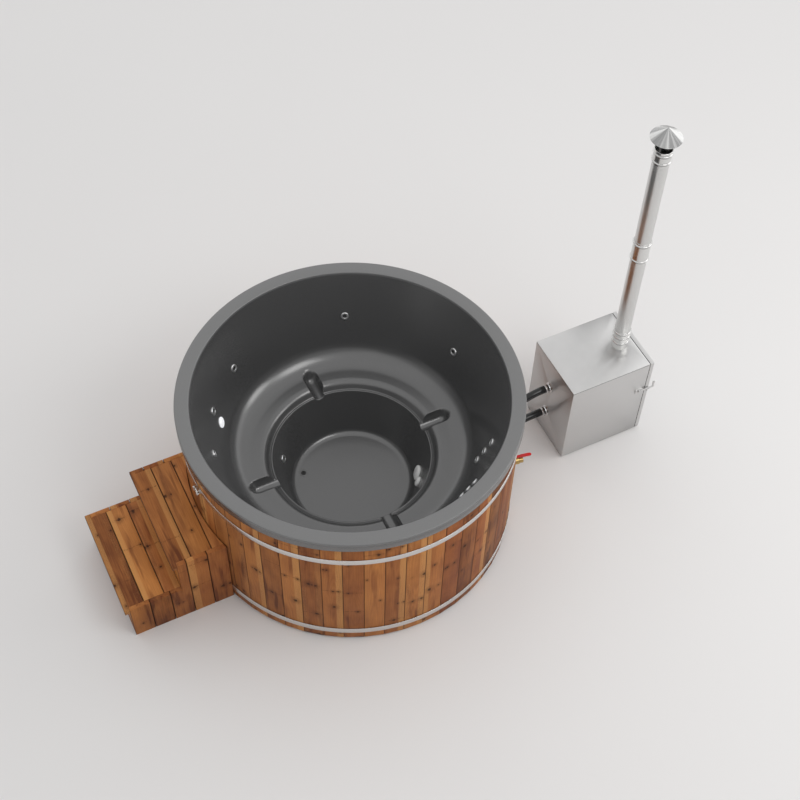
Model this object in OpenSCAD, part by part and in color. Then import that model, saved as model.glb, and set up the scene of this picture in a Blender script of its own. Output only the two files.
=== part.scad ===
// Round wooden hot tub: a moulded liner inside a wall of staves held by two steel hoops,
// with a wood-fired heater and flue beside it, joined by two hoses, and a pair of steps.
// The origin is on the ground under the tub's centre. +X runs from the steps through the
// tub to the heater, and +Z is up. Lengths are in millimetres.

/* [Tub liner] */
// Outer diameter of the rim
rim_d = 2000; // [1800:10:2200]
// Height of the rim's top face above the ground
rim_h = 1098; // [1040:1:1160]
// Width of the flat top of the rim
rim_w = 83; // [70:1:95]
// Height of the skirt that hangs from the rim
skirt_h = 65; // [40:1:90]
// Rounding of the rim's edges
rim_edge_r = 7; // [3:0.5:9]
// Wall thickness of the moulded liner
liner_t = 8; // [5:0.5:10]
// Lean of the inner walls from upright
wall_lean = 20; // [17:0.5:21]
// Height of the bench
bench_h = 505; // [480:5:530]
// Radius of the hollow between the wall and the bench
bench_cove_r = 90; // [60:5:100]
// Radius at which the bench starts to fall towards the footwell
bench_fall_at = 565; // [540:5:590]
// Drop of the bench's front edge
bench_fall = 11; // [4:1:16]
// Diameter of the footwell at its lip
well_d = 958; // [900:2:980]
// Rounding of the footwell's lip
lip_r = 14; // [10:1:20]
// Height of the footwell floor
well_floor_h = 190; // [180:2:200]
// Radius of the hollow between the footwell's wall and floor
well_cove_r = 45; // [30:5:50]

/* [Foot channels] */
// Number of channels across the bench
channel_count = 4; // [2:1:4]
// Width of a channel
channel_w = 76; // [60:2:90]
// Radius of the centre of a channel's round end
channel_end_r = 600; // [580:5:610]

/* [Staves and hoops] */
// Distance from the rim's edge in to the staves' corners
skirt_cover = 17; // [15:1:24]
// Thickness of a stave
stave_t = 28; // [20:1:34]
// Nominal width of a stave
stave_w = 119; // [90:1:140]
// Gap between two staves
stave_gap = 0.8; // [0.5:0.1:2]
// Bevel along a stave's outer edges
stave_bevel = 2.5; // [1:0.5:4]
// Height of the staves' lower ends above the ground
stave_foot_h = 15; // [5:1:25]
// Thickness of a hoop's band
hoop_t = 3.7; // [2:0.1:5]
// Width of the upper hoop
hoop_upper_w = 43; // [30:1:60]
// Width of the lower hoop
hoop_lower_w = 45; // [30:1:50]
// Height of the middle of the upper hoop
hoop_upper_h = 891; // [860:1:930]
// Height of the middle of the lower hoop
hoop_lower_h = 103; // [90:1:105]
// Direction of the upper hoop's tension screw
lug_upper_angle = 186; // [170:1:200]
// Direction of the lower hoop's tension screw
lug_lower_angle = 140; // [110:1:150]
// Gap between the two ends of a hoop
hoop_break = 24; // [16:1:60]
// Distance that a lug stands out from its hoop
lug_out = 26; // [22:1:34]
// Thickness of a lug
lug_t = 6; // [4:0.5:8]
// Diameter of a tension screw
tension_d = 10; // [6:1:12]

/* [Base and supports] */
// Height of a joist
joist_h = 45; // [40:1:60]
// Width of a joist
joist_w = 70; // [45:1:95]
// Distance between joists
joist_pitch = 330; // [250:10:400]
// Thickness of the base boards
base_t = 28; // [20:1:32]
// Width of a base board
base_board_w = 190; // [140:5:240]
// Width of a beam under the footwell
beam_w = 60; // [40:1:70]
// Distance between the beams
beam_pitch = 180; // [120:5:190]
// Distance from the drain to the first beam
beam_off = 100; // [90:1:120]
// Length of the beams
beam_l = 440; // [300:10:460]
// Side of a square post under the bench
post_w = 44; // [30:1:50]
// Height of the wooden ring behind the staves' upper ends
former_h = 30; // [20:1:40]
// Drop from the underside of the rim to the top of that ring
former_drop = 30; // [20:1:45]

/* [Massage jets] */
// Height of the ring of single jets
jet_h = 812; // [790:1:830]
// Diameter of a jet's bezel
jet_d = 50; // [40:1:60]
// Thickness of a jet's bezel
jet_rim_t = 5; // [3:0.5:8]
// Diameter of a jet's body
jet_body_d = 25; // [18:1:30]
// Diameter of a jet's bore
jet_bore_d = 16; // [8:1:18]
// Diameter of the nut behind the wall
jet_nut_d = 38; // [34:1:46]
// Distance from the wall to the axis of the air pipe
air_off = 82; // [70:1:90]
// Diameter of the air pipe
air_d = 32; // [25:1:40]
// Diameter of the lamp
lamp_d = 66; // [50:1:80]
// Height of the lamp
lamp_h = 707; // [690:1:720]
// Direction of the lamp
lamp_angle = 149; // [130:1:160]
// Height of the footwell's jet
well_jet_h = 345; // [300:1:380]
// Direction of the footwell's jet
well_jet_angle = 146; // [140:1:160]

/* [Air blower] */
// Diameter of the blower's body
blower_d = 130; // [100:1:140]
// Height of the blower's body
blower_h = 190; // [150:1:240]
// Height of the blower's neck
blower_neck_h = 30; // [20:1:40]
// Direction of the blower
blower_angle = 225; // [200:1:240]

/* [Water fittings] */
// Diameter of the large cover in the footwell
cover_d = 92; // [80:1:100]
// Direction of the large cover
cover_angle = -26; // [-28:0.5:-22]
// Height of the large cover
cover_h = 290; // [275:1:300]
// Diameter of the small cover in the footwell
return_d = 62; // [50:1:66]
// Direction of the small cover
return_angle = -38; // [-42:0.5:-37]
// Height of the small cover
return_h = 322; // [315:1:340]
// Distance that a cover stands off the wall
cover_t = 16; // [10:1:24]
// Diameter of the water pipes inside the tub
water_d = 42; // [32:1:44]
// Height of the hot hose where it enters the tub
tub_port_upper_h = 415; // [400:1:440]
// Height of the cold hose where it enters the tub
tub_port_lower_h = 206; // [200:1:212]

/* [Drain] */
// Distance of the drain from the tub's axis
drain_r = 308; // [290:1:312]
// Direction of the drain
drain_angle = 143.6; // [135:0.1:150]
// Diameter of the drain's flange
drain_d = 48; // [40:1:50]
// Diameter of the drain's hole
drain_hole_d = 30; // [20:1:32]
// Diameter of the drain pipe
drain_pipe_d = 40; // [32:1:42]
// Height of the drain pipe's axis
drain_pipe_h = 154; // [150:1:156]
// Distance of the valve's stem beyond the staves, measured along the tub
valve_out = 17; // [12:1:47]
// Sideways place of the valve's stem
valve_y = -280; // [-290:1:-276]
// Direction of the valve's outlet, so that a hose passes beside the heater
valve_turn = -12; // [-16:1:-10]
// Distance from the valve back to the bend in the drain pipe
drain_bend = 150; // [130:5:180]
// Diameter of the valve's body
valve_d = 50; // [50:1:54]
// Length of the valve's body
valve_l = 52; // [48:1:54]
// Length of the threaded outlet
outlet_l = 26; // [20:1:36]
// Length of the lever from its stem
lever_l = 106; // [90:1:130]
// Width of the lever
lever_w = 18; // [12:1:22]
// Thickness of the lever
lever_t = 4; // [3:0.5:6]
// Diameter of the valve's stem
stem_d = 10; // [8:1:12]
// Radial clearance of a turning shaft in its bore
turn_gap = 0.05; // [0.02:0.01:0.09]

/* [Hoses] */
// Sideways place of both hoses
hose_y = -57; // [-90:1:-20]
// Outer diameter of a hose
hose_d = 48; // [46:1:54]
// Outer diameter of the spigots that the hoses push on to
spigot_d = 40; // [34:1:40]
// Wall of a spigot
spigot_t = 3; // [2:0.5:4]
// Length of a spigot outside its wall
spigot_l = 58; // [50:1:60]
// Bare length of a spigot next to its flange
spigot_bare = 10; // [6:1:14]
// Diameter of a spigot's flange
flange_d = 70; // [60:1:74]
// Thickness of a spigot's flange
flange_t = 5; // [4:0.5:8]
// Width of a hose clamp
clamp_w = 12; // [8:1:16]
// Thickness of a hose clamp
clamp_t = 2; // [1:0.5:3]

/* [Heater] */
// Distance from the rim to the heater
heater_gap = 347; // [300:1:420]
// Length of the heater's body
heater_l = 548; // [520:1:620]
// Width of the heater
heater_w = 458; // [430:1:520]
// Height of the heater's top face
heater_h = 681; // [640:1:760]
// Sideways place of the heater's middle
heater_y = -73; // [-100:1:-50]
// Height of the heater's feet
heater_foot_h = 12; // [8:1:20]
// Diameter of a heater foot
heater_foot_d = 50; // [40:1:60]
// Thickness of the heater's outer sheet
sheet_t = 3; // [2:0.5:4]
// Thickness of the firebox's sheet
firebox_t = 4; // [3:0.5:6]
// Width of the water space round the firebox
water_gap = 45; // [35:1:55]
// Height of the hot port on the heater
heater_port_upper_h = 462; // [450:1:500]
// Height of the cold port on the heater
heater_port_lower_h = 221; // [214:1:260]
// Height of the grate above the firebox's floor
grate_h = 70; // [50:1:90]
// Thickness of a grate bar
grate_bar = 12; // [8:1:16]
// Drop of the smoke plate below the firebox's roof
smoke_plate_drop = 90; // [70:1:110]
// Width of the ledges inside the firebox
ledge_w = 15; // [10:1:20]

/* [Heater door] */
// Thickness of the door
door_t = 26; // [22:1:34]
// Gap between the heater's body and its door
door_gap = 4; // [3:0.5:6]
// Thickness of the door's sheet
door_sheet_t = 2; // [1.5:0.5:3]
// Distance from the door's edge to the hinge's axis
hinge_out = 14; // [12:1:18]
// Diameter of a hinge pin
hinge_pin_d = 8; // [6:1:10]
// Wall of a hinge knuckle
knuckle_wall = 3; // [2:0.5:4]
// Length of a hinge knuckle
knuckle_l = 32; // [24:1:40]
// Height of the middle of the lower hinge
hinge_low_h = 130; // [100:1:180]
// Height of the middle of the upper hinge
hinge_high_h = 585; // [520:1:600]
// Width of the air intake's slots
slot_w = 16; // [10:1:18]
// Height of the air intake's slots
slot_h = 34; // [24:1:36]
// Height of the middle of the air intake
intake_h = 120; // [110:1:150]
// Thickness of the air shutter
shutter_t = 3; // [2:0.5:4]
// Clearance of the air shutter in its rails
shutter_gap = 0.4; // [0.3:0.1:0.8]

/* [Door latch] */
// Height of the latch's pivot
latch_h = 434; // [400:1:460]
// Distance of the latch's pivot behind the front of the heater's body
latch_back = 42; // [34:1:50]
// Diameter of the latch's pivot
latch_pin_d = 10; // [8:1:12]
// Thickness of the latch's lever
latch_t = 6; // [5:0.5:8]
// Height of the latch's bar
latch_bar_h = 14; // [12:1:18]
// Height of the latch's upturned handle
latch_grip_h = 44; // [30:1:60]
// Clearance between the raised latch and the door's stud
latch_clear = 1; // [0.8:0.1:1.5]
// Depth of the latch's nose
latch_nose_h = 5.5; // [5:0.1:6]

/* [Flue] */
// Distance of the flue's axis behind the front of the heater's body
flue_back = 92; // [90:1:120]
// Sideways place of the flue
flue_y = -80; // [-110:1:-60]
// Outer diameter of the flue pipe
flue_d = 97; // [90:1:100]
// Wall of the flue pipe
flue_t = 1.2; // [1:0.1:2]
// Diameter over the sockets' ribs
rib_d = 113; // [112:1:120]
// Height of the joint between the two flue pipes
flue_joint_h = 1550; // [1500:1:1600]
// Height of the flue's mouth
flue_mouth_h = 2334; // [2320:1:2350]
// Height of the cap's point
cap_top_h = 2477; // [2450:1:2520]
// Diameter of the cap
cap_d = 180; // [150:1:200]
// Height of the cap's cone
cap_cone_h = 69; // [40:1:80]

/* [Steps] */
// Distance that the steps stand out from the upper hoop
step_reach = 592; // [560:1:650]
// Tread depth from nose to nose
step_going = 319; // [280:1:340]
// Height of the lower step
step_low_h = 294; // [270:1:310]
// Height of the upper step
step_high_h = 564; // [540:1:600]
// Width of the steps
step_w = 720; // [640:1:760]
// Sideways place of the steps' middle
step_y = 36; // [0:1:60]
// Overhang of a step's nose
step_nose = 30; // [20:1:40]
// Thickness of the step boards
step_board_t = 28; // [22:1:32]
// Width of a step board
step_board_w = 122; // [100:1:140]
// Gap between step boards
step_board_gap = 3; // [1:0.5:5]
// Side of the square rails inside the steps
step_rail_w = 45; // [38:1:50]

/* [Hidden] */
$fn = 96;

// Small distances used all over
seat = 0.3;       // gap between curved faces that rest on each other
through = 2;      // how far a cutting tool runs past a face
hole_gap = 0.4;   // radial gap round a pipe in its hole
arc_steps = 10;   // segments in a profile's rounded corner

// Colours
wood_c = [0.60, 0.38, 0.21];
raw_wood_c = [0.70, 0.58, 0.42];
liner_c = [0.33, 0.33, 0.34];
steel_c = [0.72, 0.72, 0.72];
chrome_c = [0.86, 0.86, 0.87];
black_c = [0.08, 0.08, 0.08];
white_c = [0.92, 0.92, 0.90];
brass_c = [0.75, 0.62, 0.33];
red_c = [0.75, 0.10, 0.12];
iron_c = [0.20, 0.20, 0.20];
felt_c = [0.85, 0.83, 0.78];

// Points of an arc in a profile
function arc(c, r, a0, a1) = [for (i = [0 : arc_steps])
  let (a = a0 + (a1 - a0) * i / arc_steps) [c[0] + r * cos(a), c[1] + r * sin(a)]];
function reverse(v) = [for (i = [len(v) - 1 : -1 : 0]) v[i]];

// ---- Liner profile. An offset o moves the whole profile outwards from the bathing space.
rim_r = rim_d / 2;
rim_in_r = rim_r - rim_w;
lip_h = bench_h - bench_fall;
function wall_r(z, o = 0) = rim_in_r + o / cos(wall_lean) - (rim_h - z) * tan(wall_lean);
function well_r(z, o = 0) = well_d / 2 + o / cos(wall_lean) - (lip_h - z) * tan(wall_lean);
bench_cove = [wall_r(bench_h + bench_cove_r) - bench_cove_r / cos(wall_lean), bench_h + bench_cove_r];
lip_c = [well_r(lip_h - lip_r) + lip_r / cos(wall_lean), lip_h - lip_r];
well_cove = [well_r(well_floor_h + well_cove_r) - well_cove_r / cos(wall_lean),
  well_floor_h + well_cove_r];
function bowl(o) = concat(
  [[0, well_floor_h - o]],
  arc(well_cove, well_cove_r + o, -90, -wall_lean),
  arc(lip_c, lip_r - o, 180 - wall_lean, 90),
  [[bench_fall_at, bench_h - o]],
  arc(bench_cove, bench_cove_r + o, -90, -wall_lean));
skirt_foot_h = rim_h - skirt_h;
under_rim_h = rim_h - liner_t;
former_top_h = under_rim_h - former_drop;
liner_section = concat(
  bowl(0),
  arc([wall_r(rim_h - rim_edge_r) + rim_edge_r / cos(wall_lean), rim_h - rim_edge_r], rim_edge_r,
    180 - wall_lean, 90),
  arc([rim_r - rim_edge_r, rim_h - rim_edge_r], rim_edge_r, 90, 0),
  [[rim_r, skirt_foot_h], [rim_r - liner_t, skirt_foot_h], [rim_r - liner_t, under_rim_h],
   [wall_r(under_rim_h, liner_t), under_rim_h]],
  reverse(bowl(liner_t)));
function void_section(o) = concat(bowl(o),
  [[wall_r(rim_h + through, o), rim_h + through], [0, rim_h + through]]);

// ---- Places on the leaning walls
module on_wall(angle, z) {
  rotate([0, 0, angle]) translate([wall_r(z), 0, z]) rotate([0, wall_lean - 90, 0]) children();
}
module on_well(angle, z) {
  rotate([0, 0, angle]) translate([well_r(z), 0, z]) rotate([0, wall_lean - 90, 0]) children();
}
// Single jets, and the two columns of three, as [direction, height]
single_jet_angles = [15.3, 67.9, 125.1, 148.8, 170.3];
column_angles = [-37, -57.5];
column_step = 100;
column_heights = [jet_h + 0.38 * column_step, jet_h - 0.62 * column_step, jet_h - 1.62 * column_step];
wall_jets = concat([for (a = single_jet_angles) [a, jet_h]],
  [for (a = column_angles, z = column_heights) [a, z]]);
jet_front = jet_rim_t * 0.6;
fitting_nut_t = 10;
bezel_lift = pow(jet_d / 2, 2) / (2 * wall_r(column_heights[2])) + seat;
well_bezel_lift = pow(jet_d / 2, 2) / (2 * well_r(well_jet_h)) + seat;

// ---- Staves
stave_out_r = rim_r - skirt_cover;
stave_count = round(2 * PI * stave_out_r / stave_w);
stave_half = 180 / stave_count;
stave_face_r = stave_out_r * cos(stave_half);
stave_in_r = stave_face_r - stave_t;
hoop_in_r = stave_out_r + seat;
hoop_out_r = hoop_in_r + hoop_t;

// ---- Base
base_top_h = joist_h + base_t;
base_r = stave_in_r - seat;
joist_reach = base_r - 2 * seat;

// ---- Air pipe ring, on the line that the jets' tails point at
air_ring_r = wall_r(jet_h) + air_off * cos(wall_lean);
air_ring_h = jet_h - air_off * sin(wall_lean);
branch_d = air_d - 4;
jet_tail = air_off - air_d / 2 - seat;
blower_plate_d = blower_d + 14;
blower_clear = 5;
blower_r = base_r - blower_plate_d / 2 - blower_clear;
blower_plate_t = 8;
blower_neck_d = air_d + 6;

// ---- Water pipes: each runs between the spigot in the staves and a cover's tail
tail_l = 48;
water_tail_d = water_d - 8;
water_nut_wide = 16;
elbow_r = water_d / 2 + 2;
function well_tail(a, z) = let (r = well_r(z) + tail_l * cos(wall_lean))
  [r * cos(a), r * sin(a), z - tail_l * sin(wall_lean)];
spigot_in = 60;
spigot_nut_d = flange_d - 12;
spigot_nut_face = sqrt(pow(stave_in_r, 2) - pow(abs(hose_y) + spigot_nut_d / 2, 2)) - seat;
function spigot_end(z) = [stave_in_r - spigot_in, hose_y, z];

// ---- Drain: a pipe from under the drain to one side, then out through the staves to the valve
drain_p = [drain_r * cos(drain_angle), drain_r * sin(drain_angle)];
valve_x = stave_out_r + valve_out;
valve_elbow = [valve_x - drain_bend * cos(valve_turn), valve_y - drain_bend * sin(valve_turn)];
drain_flange_t = 3;
drain_tail_d = drain_pipe_d - 4;
beam_x = drain_p[0] + beam_off;
ball_r = 19;
valve_bore_r = 14;
drain_sleeve = 10;
lever_rise = 16;
lever_h = drain_pipe_h + valve_d / 2 + lever_rise;
lever_grip_t = 7;
lever_grip_wide = 2;
lever_hub_wide = 4;
stem_foot = 2;     // how far the stem starts above the ball's bore
stem_above = 4;    // how far it stands out of the lever
valve_neck_wall = 6;

// ---- Heater
heater_x = rim_r + heater_gap;
heater_x1 = heater_x + heater_l;
heater_y0 = heater_y - heater_w / 2;
heater_y1 = heater_y + heater_w / 2;
fire_x = heater_x + sheet_t + water_gap;
fire_y0 = heater_y0 + sheet_t + water_gap;
fire_y1 = heater_y1 - sheet_t - water_gap;
fire_z0 = heater_foot_h + sheet_t + water_gap;
fire_z1 = heater_h - sheet_t - water_gap;
frame_t = 5;
foot_inset = 15;
ledge_t = 4;
ledge_short = 20;
grate_gap = 2;        // at each side, as for the smoke plate
grate_back_gap = 6;
grate_front_gap = 30;
grate_spread = 2.6;   // distance between bars as a multiple of a bar
smoke_plate_t = 6;
smoke_plate_back = 90;
smoke_plate_front = 10;
spigot_root = 10;
flue_x = heater_x1 - flue_back;
flue_r = flue_d / 2;
flue_in_r = flue_r - flue_t;
spigot_flue_r = flue_in_r - seat;
flue_spigot_t = 2;
flue_spigot_up = 60;
flue_spigot_top = heater_h + flue_spigot_up;
socket_t = 2.5;
socket_r = flue_r + seat + socket_t;
rib_h = 12;
base_socket_h = 158;
mid_socket_h = 160;
top_socket_h = 94;
base_ribs = [57, 106, 145];
mid_ribs = [17, 143];
top_ribs = [16, 71];
flue_short = 4;       // the upper pipe ends this far inside the top socket
cap_foot_h = cap_top_h - cap_cone_h;
cap_rim_t = 2;
cap_wall = 4;
cap_tip_d = 0.5;
strap_w = 14;
strap_t = 2;
strap_down = 50;
strap_turn = 83.5;
strap_count = 3;
strap_x = flue_in_r - strap_t - 3 * seat;

// ---- Door and hinge
door_x = heater_x1 + door_gap;
door_x1 = door_x + door_t;
hinge_x = door_x + door_t / 2;
hinge_y = heater_y1 + hinge_out;
knuckle_r = hinge_pin_d / 2 + turn_gap + knuckle_wall;
knuckle_split = 0.4;
inner_plate_t = 3;
seal_w = 14;
seal_edge = 8;
intake_slots = 4;
intake_bar = 6;
intake_pitch = 2 * slot_w + intake_bar;
intake_w = (intake_slots - 1) * intake_pitch + slot_w;
shutter_travel = slot_w + intake_bar / 2;
shutter_w = intake_w + 2 * shutter_travel;
shutter_edge = 8;
shutter_h = slot_h + 2 * shutter_edge;
rail_w = 10;
rail_lip = 5;
rail_t = 2;
rail_l = shutter_w + shutter_travel + 10;
knob_d = 18;
knob_l = 8;
knob_neck_d = 8;
knob_neck_l = 10;

// ---- Latch, drawn in the heater's side plane
latch_x = heater_x1 - latch_back;
latch_plate_t = 4;
latch_y = heater_y0 - latch_plate_t - seat;
stud_d = 10;
stud_out = 2;
stud_x = hinge_x;
latch_past = 36;
latch_reach = door_x1 + latch_past - latch_x;
nose_gap = 3;
nose_l = 9;
nose_x = stud_x - latch_x + stud_d / 2 + nose_gap;
latch_plate_w = 50;
latch_plate_h = 34;
pivot_head_wide = 8;
pivot_head_t = 3;
latch_hub_wide = 6;
latch_grip_wide = 4;
stud_z = latch_h - latch_bar_h / 2 - latch_nose_h - latch_clear - stud_d / 2;

// ---- Hoses
hose_x0 = stave_out_r + flange_t + spigot_bare;
hose_x1 = heater_x - flange_t - spigot_bare;
hose_sides = 16;
hose_rings = 11;
hose_in_d = (spigot_d + 2 * seat) / cos(180 / hose_sides);
hose_grip = spigot_l - spigot_bare;
clamp_box_l = 9;
clamp_box_w = 14;

// ---- Steps
step_out = hoop_out_r + step_reach;
step_y0 = step_y - step_w / 2;
step_y1 = step_y + step_w / 2;
step_pitch = step_board_w + step_board_gap;
step_riser_low_x = -step_out + step_nose;
step_nose_high_x = -step_out + step_going;
step_riser_high_x = step_nose_high_x + step_nose;
step_tub_r = hoop_out_r + seat;
least_board = 5;
side_reach = 0.9;     // share of the tub's radius where the side boards end
post_back = 20;

// A ring-shaped solid, used for pipes, sockets and clamps
module tube(r_out, r_in, h) {
  difference() {
    cylinder(r = r_out, h = h);
    translate([0, 0, -through]) cylinder(r = r_in, h = h + 2 * through);
  }
}
// A pipe between two points, with a rounder elbow at each end
module pipe_between(a, b, r, end_r) {
  d = b - a;
  l = norm(d);
  translate(a) {
    rotate([0, acos(d[2] / l), atan2(d[1], d[0])]) cylinder(r = r, h = l);
    sphere(r = end_r);
  }
  translate(b) sphere(r = end_r);
}

// ================= Tub =================
module channel(grow) {
  translate([well_d / 2 - bench_fall_at / 4, 0, bench_h]) rotate([0, 90, 0])
    cylinder(r = channel_w / 2 + grow, h = channel_end_r - well_d / 2 + bench_fall_at / 4);
  translate([channel_end_r, 0, bench_h]) sphere(r = channel_w / 2 + grow);
}
module channels(grow) {
  for (i = [0 : channel_count - 1]) rotate([0, 0, i * 360 / channel_count]) channel(grow);
}
module bathing_space(o) {
  rotate_extrude($fn = 180) polygon(void_section(o));
}
module wall_hole(d) {
  translate([0, 0, -liner_t * 3]) cylinder(d = d + 2 * hole_gap, h = liner_t * 5);
}
module liner() {
  color(liner_c) difference() {
    union() {
      rotate_extrude($fn = 180) polygon(liner_section);
      difference() {
        channels(liner_t);
        bathing_space(0);
      }
    }
    channels(0);
    for (j = wall_jets) on_wall(j[0], j[1]) wall_hole(jet_body_d);
    on_well(well_jet_angle, well_jet_h) wall_hole(jet_body_d);
    on_wall(lamp_angle, lamp_h) wall_hole(jet_body_d);
    on_well(cover_angle, cover_h) wall_hole(water_tail_d);
    on_well(return_angle, return_h) wall_hole(water_tail_d);
    translate([drain_p[0], drain_p[1], well_floor_h - liner_t - through])
      cylinder(d = drain_tail_d + 2 * hole_gap, h = liner_t + 2 * through);
  }
}

module stave() {
  y_out = stave_out_r * sin(stave_half) - stave_gap / 2;
  y_in = stave_in_r * tan(stave_half) - stave_gap / 2;
  linear_extrude(under_rim_h - stave_foot_h)
    polygon([[stave_in_r, -y_in], [stave_face_r - stave_bevel, -y_out],
      [stave_face_r, -y_out + stave_bevel], [stave_face_r, y_out - stave_bevel],
      [stave_face_r - stave_bevel, y_out], [stave_in_r, y_in]]);
}
module staves() {
  color(wood_c) difference() {
    for (i = [0 : stave_count - 1])
      rotate([0, 0, (2 * i + 1) * stave_half]) translate([0, 0, stave_foot_h]) stave();
    for (z = [tub_port_upper_h, tub_port_lower_h])
      translate([stave_in_r - stave_t, hose_y, z]) rotate([0, 90, 0])
        cylinder(d = spigot_d + 2 * hole_gap, h = 3 * stave_t);
    valve_axis() rotate([0, -90, 0]) cylinder(d = drain_pipe_d + 2 * hole_gap, h = drain_bend);
  }
}

module hoop(w, h, angle) {
  color(steel_c) difference() {
    translate([0, 0, h - w / 2]) rotate_extrude($fn = 180)
      translate([hoop_in_r, 0]) square([hoop_t, w]);
    rotate([0, 0, angle]) translate([hoop_in_r - through, -hoop_break / 2, h - w])
      cube([hoop_t + 2 * through, hoop_break, 2 * w]);
  }
}
module hoop_upper() { hoop(hoop_upper_w, hoop_upper_h, lug_upper_angle); }
module hoop_lower() { hoop(hoop_lower_w, hoop_lower_h, lug_lower_angle); }

// The lugs stand on the band just beyond its two ends
lug_swing = atan((hoop_break / 2 + lug_t) / hoop_out_r);
module lug_pair(w, h, angle) {
  for (s = [-1, 1]) rotate([0, 0, angle + s * lug_swing]) difference() {
    translate([hoop_out_r, -lug_t / 2, h - w / 2]) cube([lug_out, lug_t, w]);
    translate([hoop_out_r + lug_out / 2, 0, h]) rotate([90, 0, 0])
      cylinder(d = tension_d + 2 * hole_gap, h = lug_t + 2 * through, center = true);
  }
}
module hoop_lugs() {
  color(steel_c) {
    lug_pair(hoop_upper_w, hoop_upper_h, lug_upper_angle);
    lug_pair(hoop_lower_w, hoop_lower_h, lug_lower_angle);
  }
}
module tension_screw(h, angle) {
  half = hoop_break / 2 + 1.5 * lug_t + 2 * seat;
  nut_t = 0.8 * tension_d;
  nut_d = 1.9 * tension_d;
  rotate([0, 0, angle]) translate([(hoop_out_r + lug_out / 2) * cos(lug_swing), 0, h])
    rotate([90, 0, 0]) {
      cylinder(d = tension_d, h = 2 * half + 2 * nut_t, center = true);
      for (s = [-1, 1]) translate([0, 0, s * (half + nut_t / 2)])
        cylinder(d = nut_d, h = nut_t, center = true, $fn = 6);
    }
}
module hoop_screws() {
  color(chrome_c) {
    tension_screw(hoop_upper_h, lug_upper_angle);
    tension_screw(hoop_lower_h, lug_lower_angle);
  }
}

module base_joists() {
  color(raw_wood_c) for (i = [-2 : 2]) {
    y = i * joist_pitch;
    half = sqrt(pow(joist_reach, 2) - pow(abs(y) + joist_w / 2, 2));
    translate([-half, y - joist_w / 2, 0]) cube([2 * half, joist_w, joist_h]);
  }
}
module base_boards() {
  n = ceil(base_r / (base_board_w + step_board_gap));
  color(raw_wood_c) intersection() {
    for (i = [-n : n])
      translate([i * (base_board_w + step_board_gap) - base_board_w / 2, -base_r, joist_h])
        cube([base_board_w, 2 * base_r, base_t]);
    translate([0, 0, joist_h]) cylinder(r = base_r, h = base_t, $fn = 180);
  }
}
// Beams on the base boards carry the footwell
module well_beams() {
  color(raw_wood_c) for (i = [0 : 2])
    translate([beam_x + i * beam_pitch - beam_w / 2, -beam_l / 2, base_top_h])
      cube([beam_w, beam_l, well_floor_h - liner_t - base_top_h]);
}
module bench_posts() {
  r = (bench_fall_at + bench_cove[0]) / 2;
  color(raw_wood_c) for (i = [0 : channel_count - 1])
    rotate([0, 0, (i + 0.5) * 360 / channel_count]) translate([r - post_w / 2, -post_w / 2, base_top_h])
      cube([post_w, post_w, bench_h - liner_t - base_top_h]);
}
module stave_ring() {
  color(raw_wood_c) translate([0, 0, former_top_h - former_h]) rotate_extrude($fn = 180)
    translate([wall_r(former_top_h, liner_t) + seat, 0])
      square([stave_in_r - seat - wall_r(former_top_h, liner_t) - seat, former_h]);
}

module jet_bezel(lift) {
  translate([0, 0, lift]) difference() {
    union() {
      cylinder(d = jet_d, h = jet_rim_t / 2);
      translate([0, 0, jet_rim_t / 2]) cylinder(d1 = jet_d, d2 = jet_d - jet_rim_t, h = jet_rim_t / 2);
    }
    translate([0, 0, -through]) cylinder(d = jet_body_d + 2 * seat, h = jet_rim_t + 2 * through);
  }
}
module jet_body(tail, front) {
  difference() {
    union() {
      translate([0, 0, -tail]) cylinder(d = jet_body_d, h = tail + front);
      translate([0, 0, -liner_t - seat - fitting_nut_t]) cylinder(d = jet_nut_d, h = fitting_nut_t);
    }
    translate([0, 0, -tail + liner_t]) cylinder(d = jet_bore_d, h = tail + front);
  }
}
module jet_bezels() {
  color(chrome_c) {
    for (j = wall_jets) on_wall(j[0], j[1]) jet_bezel(bezel_lift);
    on_well(well_jet_angle, well_jet_h) jet_bezel(well_bezel_lift);
  }
}
module jet_bodies() {
  color(black_c) {
    for (j = wall_jets) on_wall(j[0], j[1]) jet_body(jet_tail, jet_front);
    on_well(well_jet_angle, well_jet_h) jet_body(jet_tail / 2, jet_front);
  }
}
// The ring passes behind the single jets; a branch runs up and down behind each column
module air_pipe() {
  top = (column_heights[0] - jet_h) / cos(wall_lean) + air_d / 2;
  foot = (jet_h - column_heights[2]) / cos(wall_lean) + air_d / 2;
  color(black_c) {
    rotate_extrude($fn = 180) translate([air_ring_r, air_ring_h]) circle(d = air_d, $fn = 32);
    for (a = column_angles) rotate([0, 0, a]) translate([air_ring_r, 0, air_ring_h])
      rotate([0, wall_lean, 0]) translate([0, 0, -foot]) cylinder(d = branch_d, h = top + foot);
    rotate([0, 0, blower_angle]) translate([air_ring_r, 0, base_top_h + blower_h])
      cylinder(d = branch_d, h = air_ring_h - base_top_h - blower_h);
  }
}
module air_blower() {
  color(black_c) rotate([0, 0, blower_angle]) translate([0, 0, base_top_h]) {
    translate([blower_r, 0, 0]) cylinder(d = blower_d, h = blower_h - blower_neck_h);
    translate([blower_r, 0, 0]) cylinder(d = blower_plate_d, h = blower_plate_t);
    hull() {
      translate([blower_r, 0, blower_h - blower_neck_h]) cylinder(d = blower_d / 2, h = blower_neck_h / 2);
      translate([air_ring_r, 0, blower_h - blower_neck_h])
        cylinder(d = blower_neck_d, h = blower_neck_h / 2);
    }
    translate([air_ring_r, 0, blower_h - blower_neck_h]) cylinder(d = blower_neck_d, h = blower_neck_h);
  }
}
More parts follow.
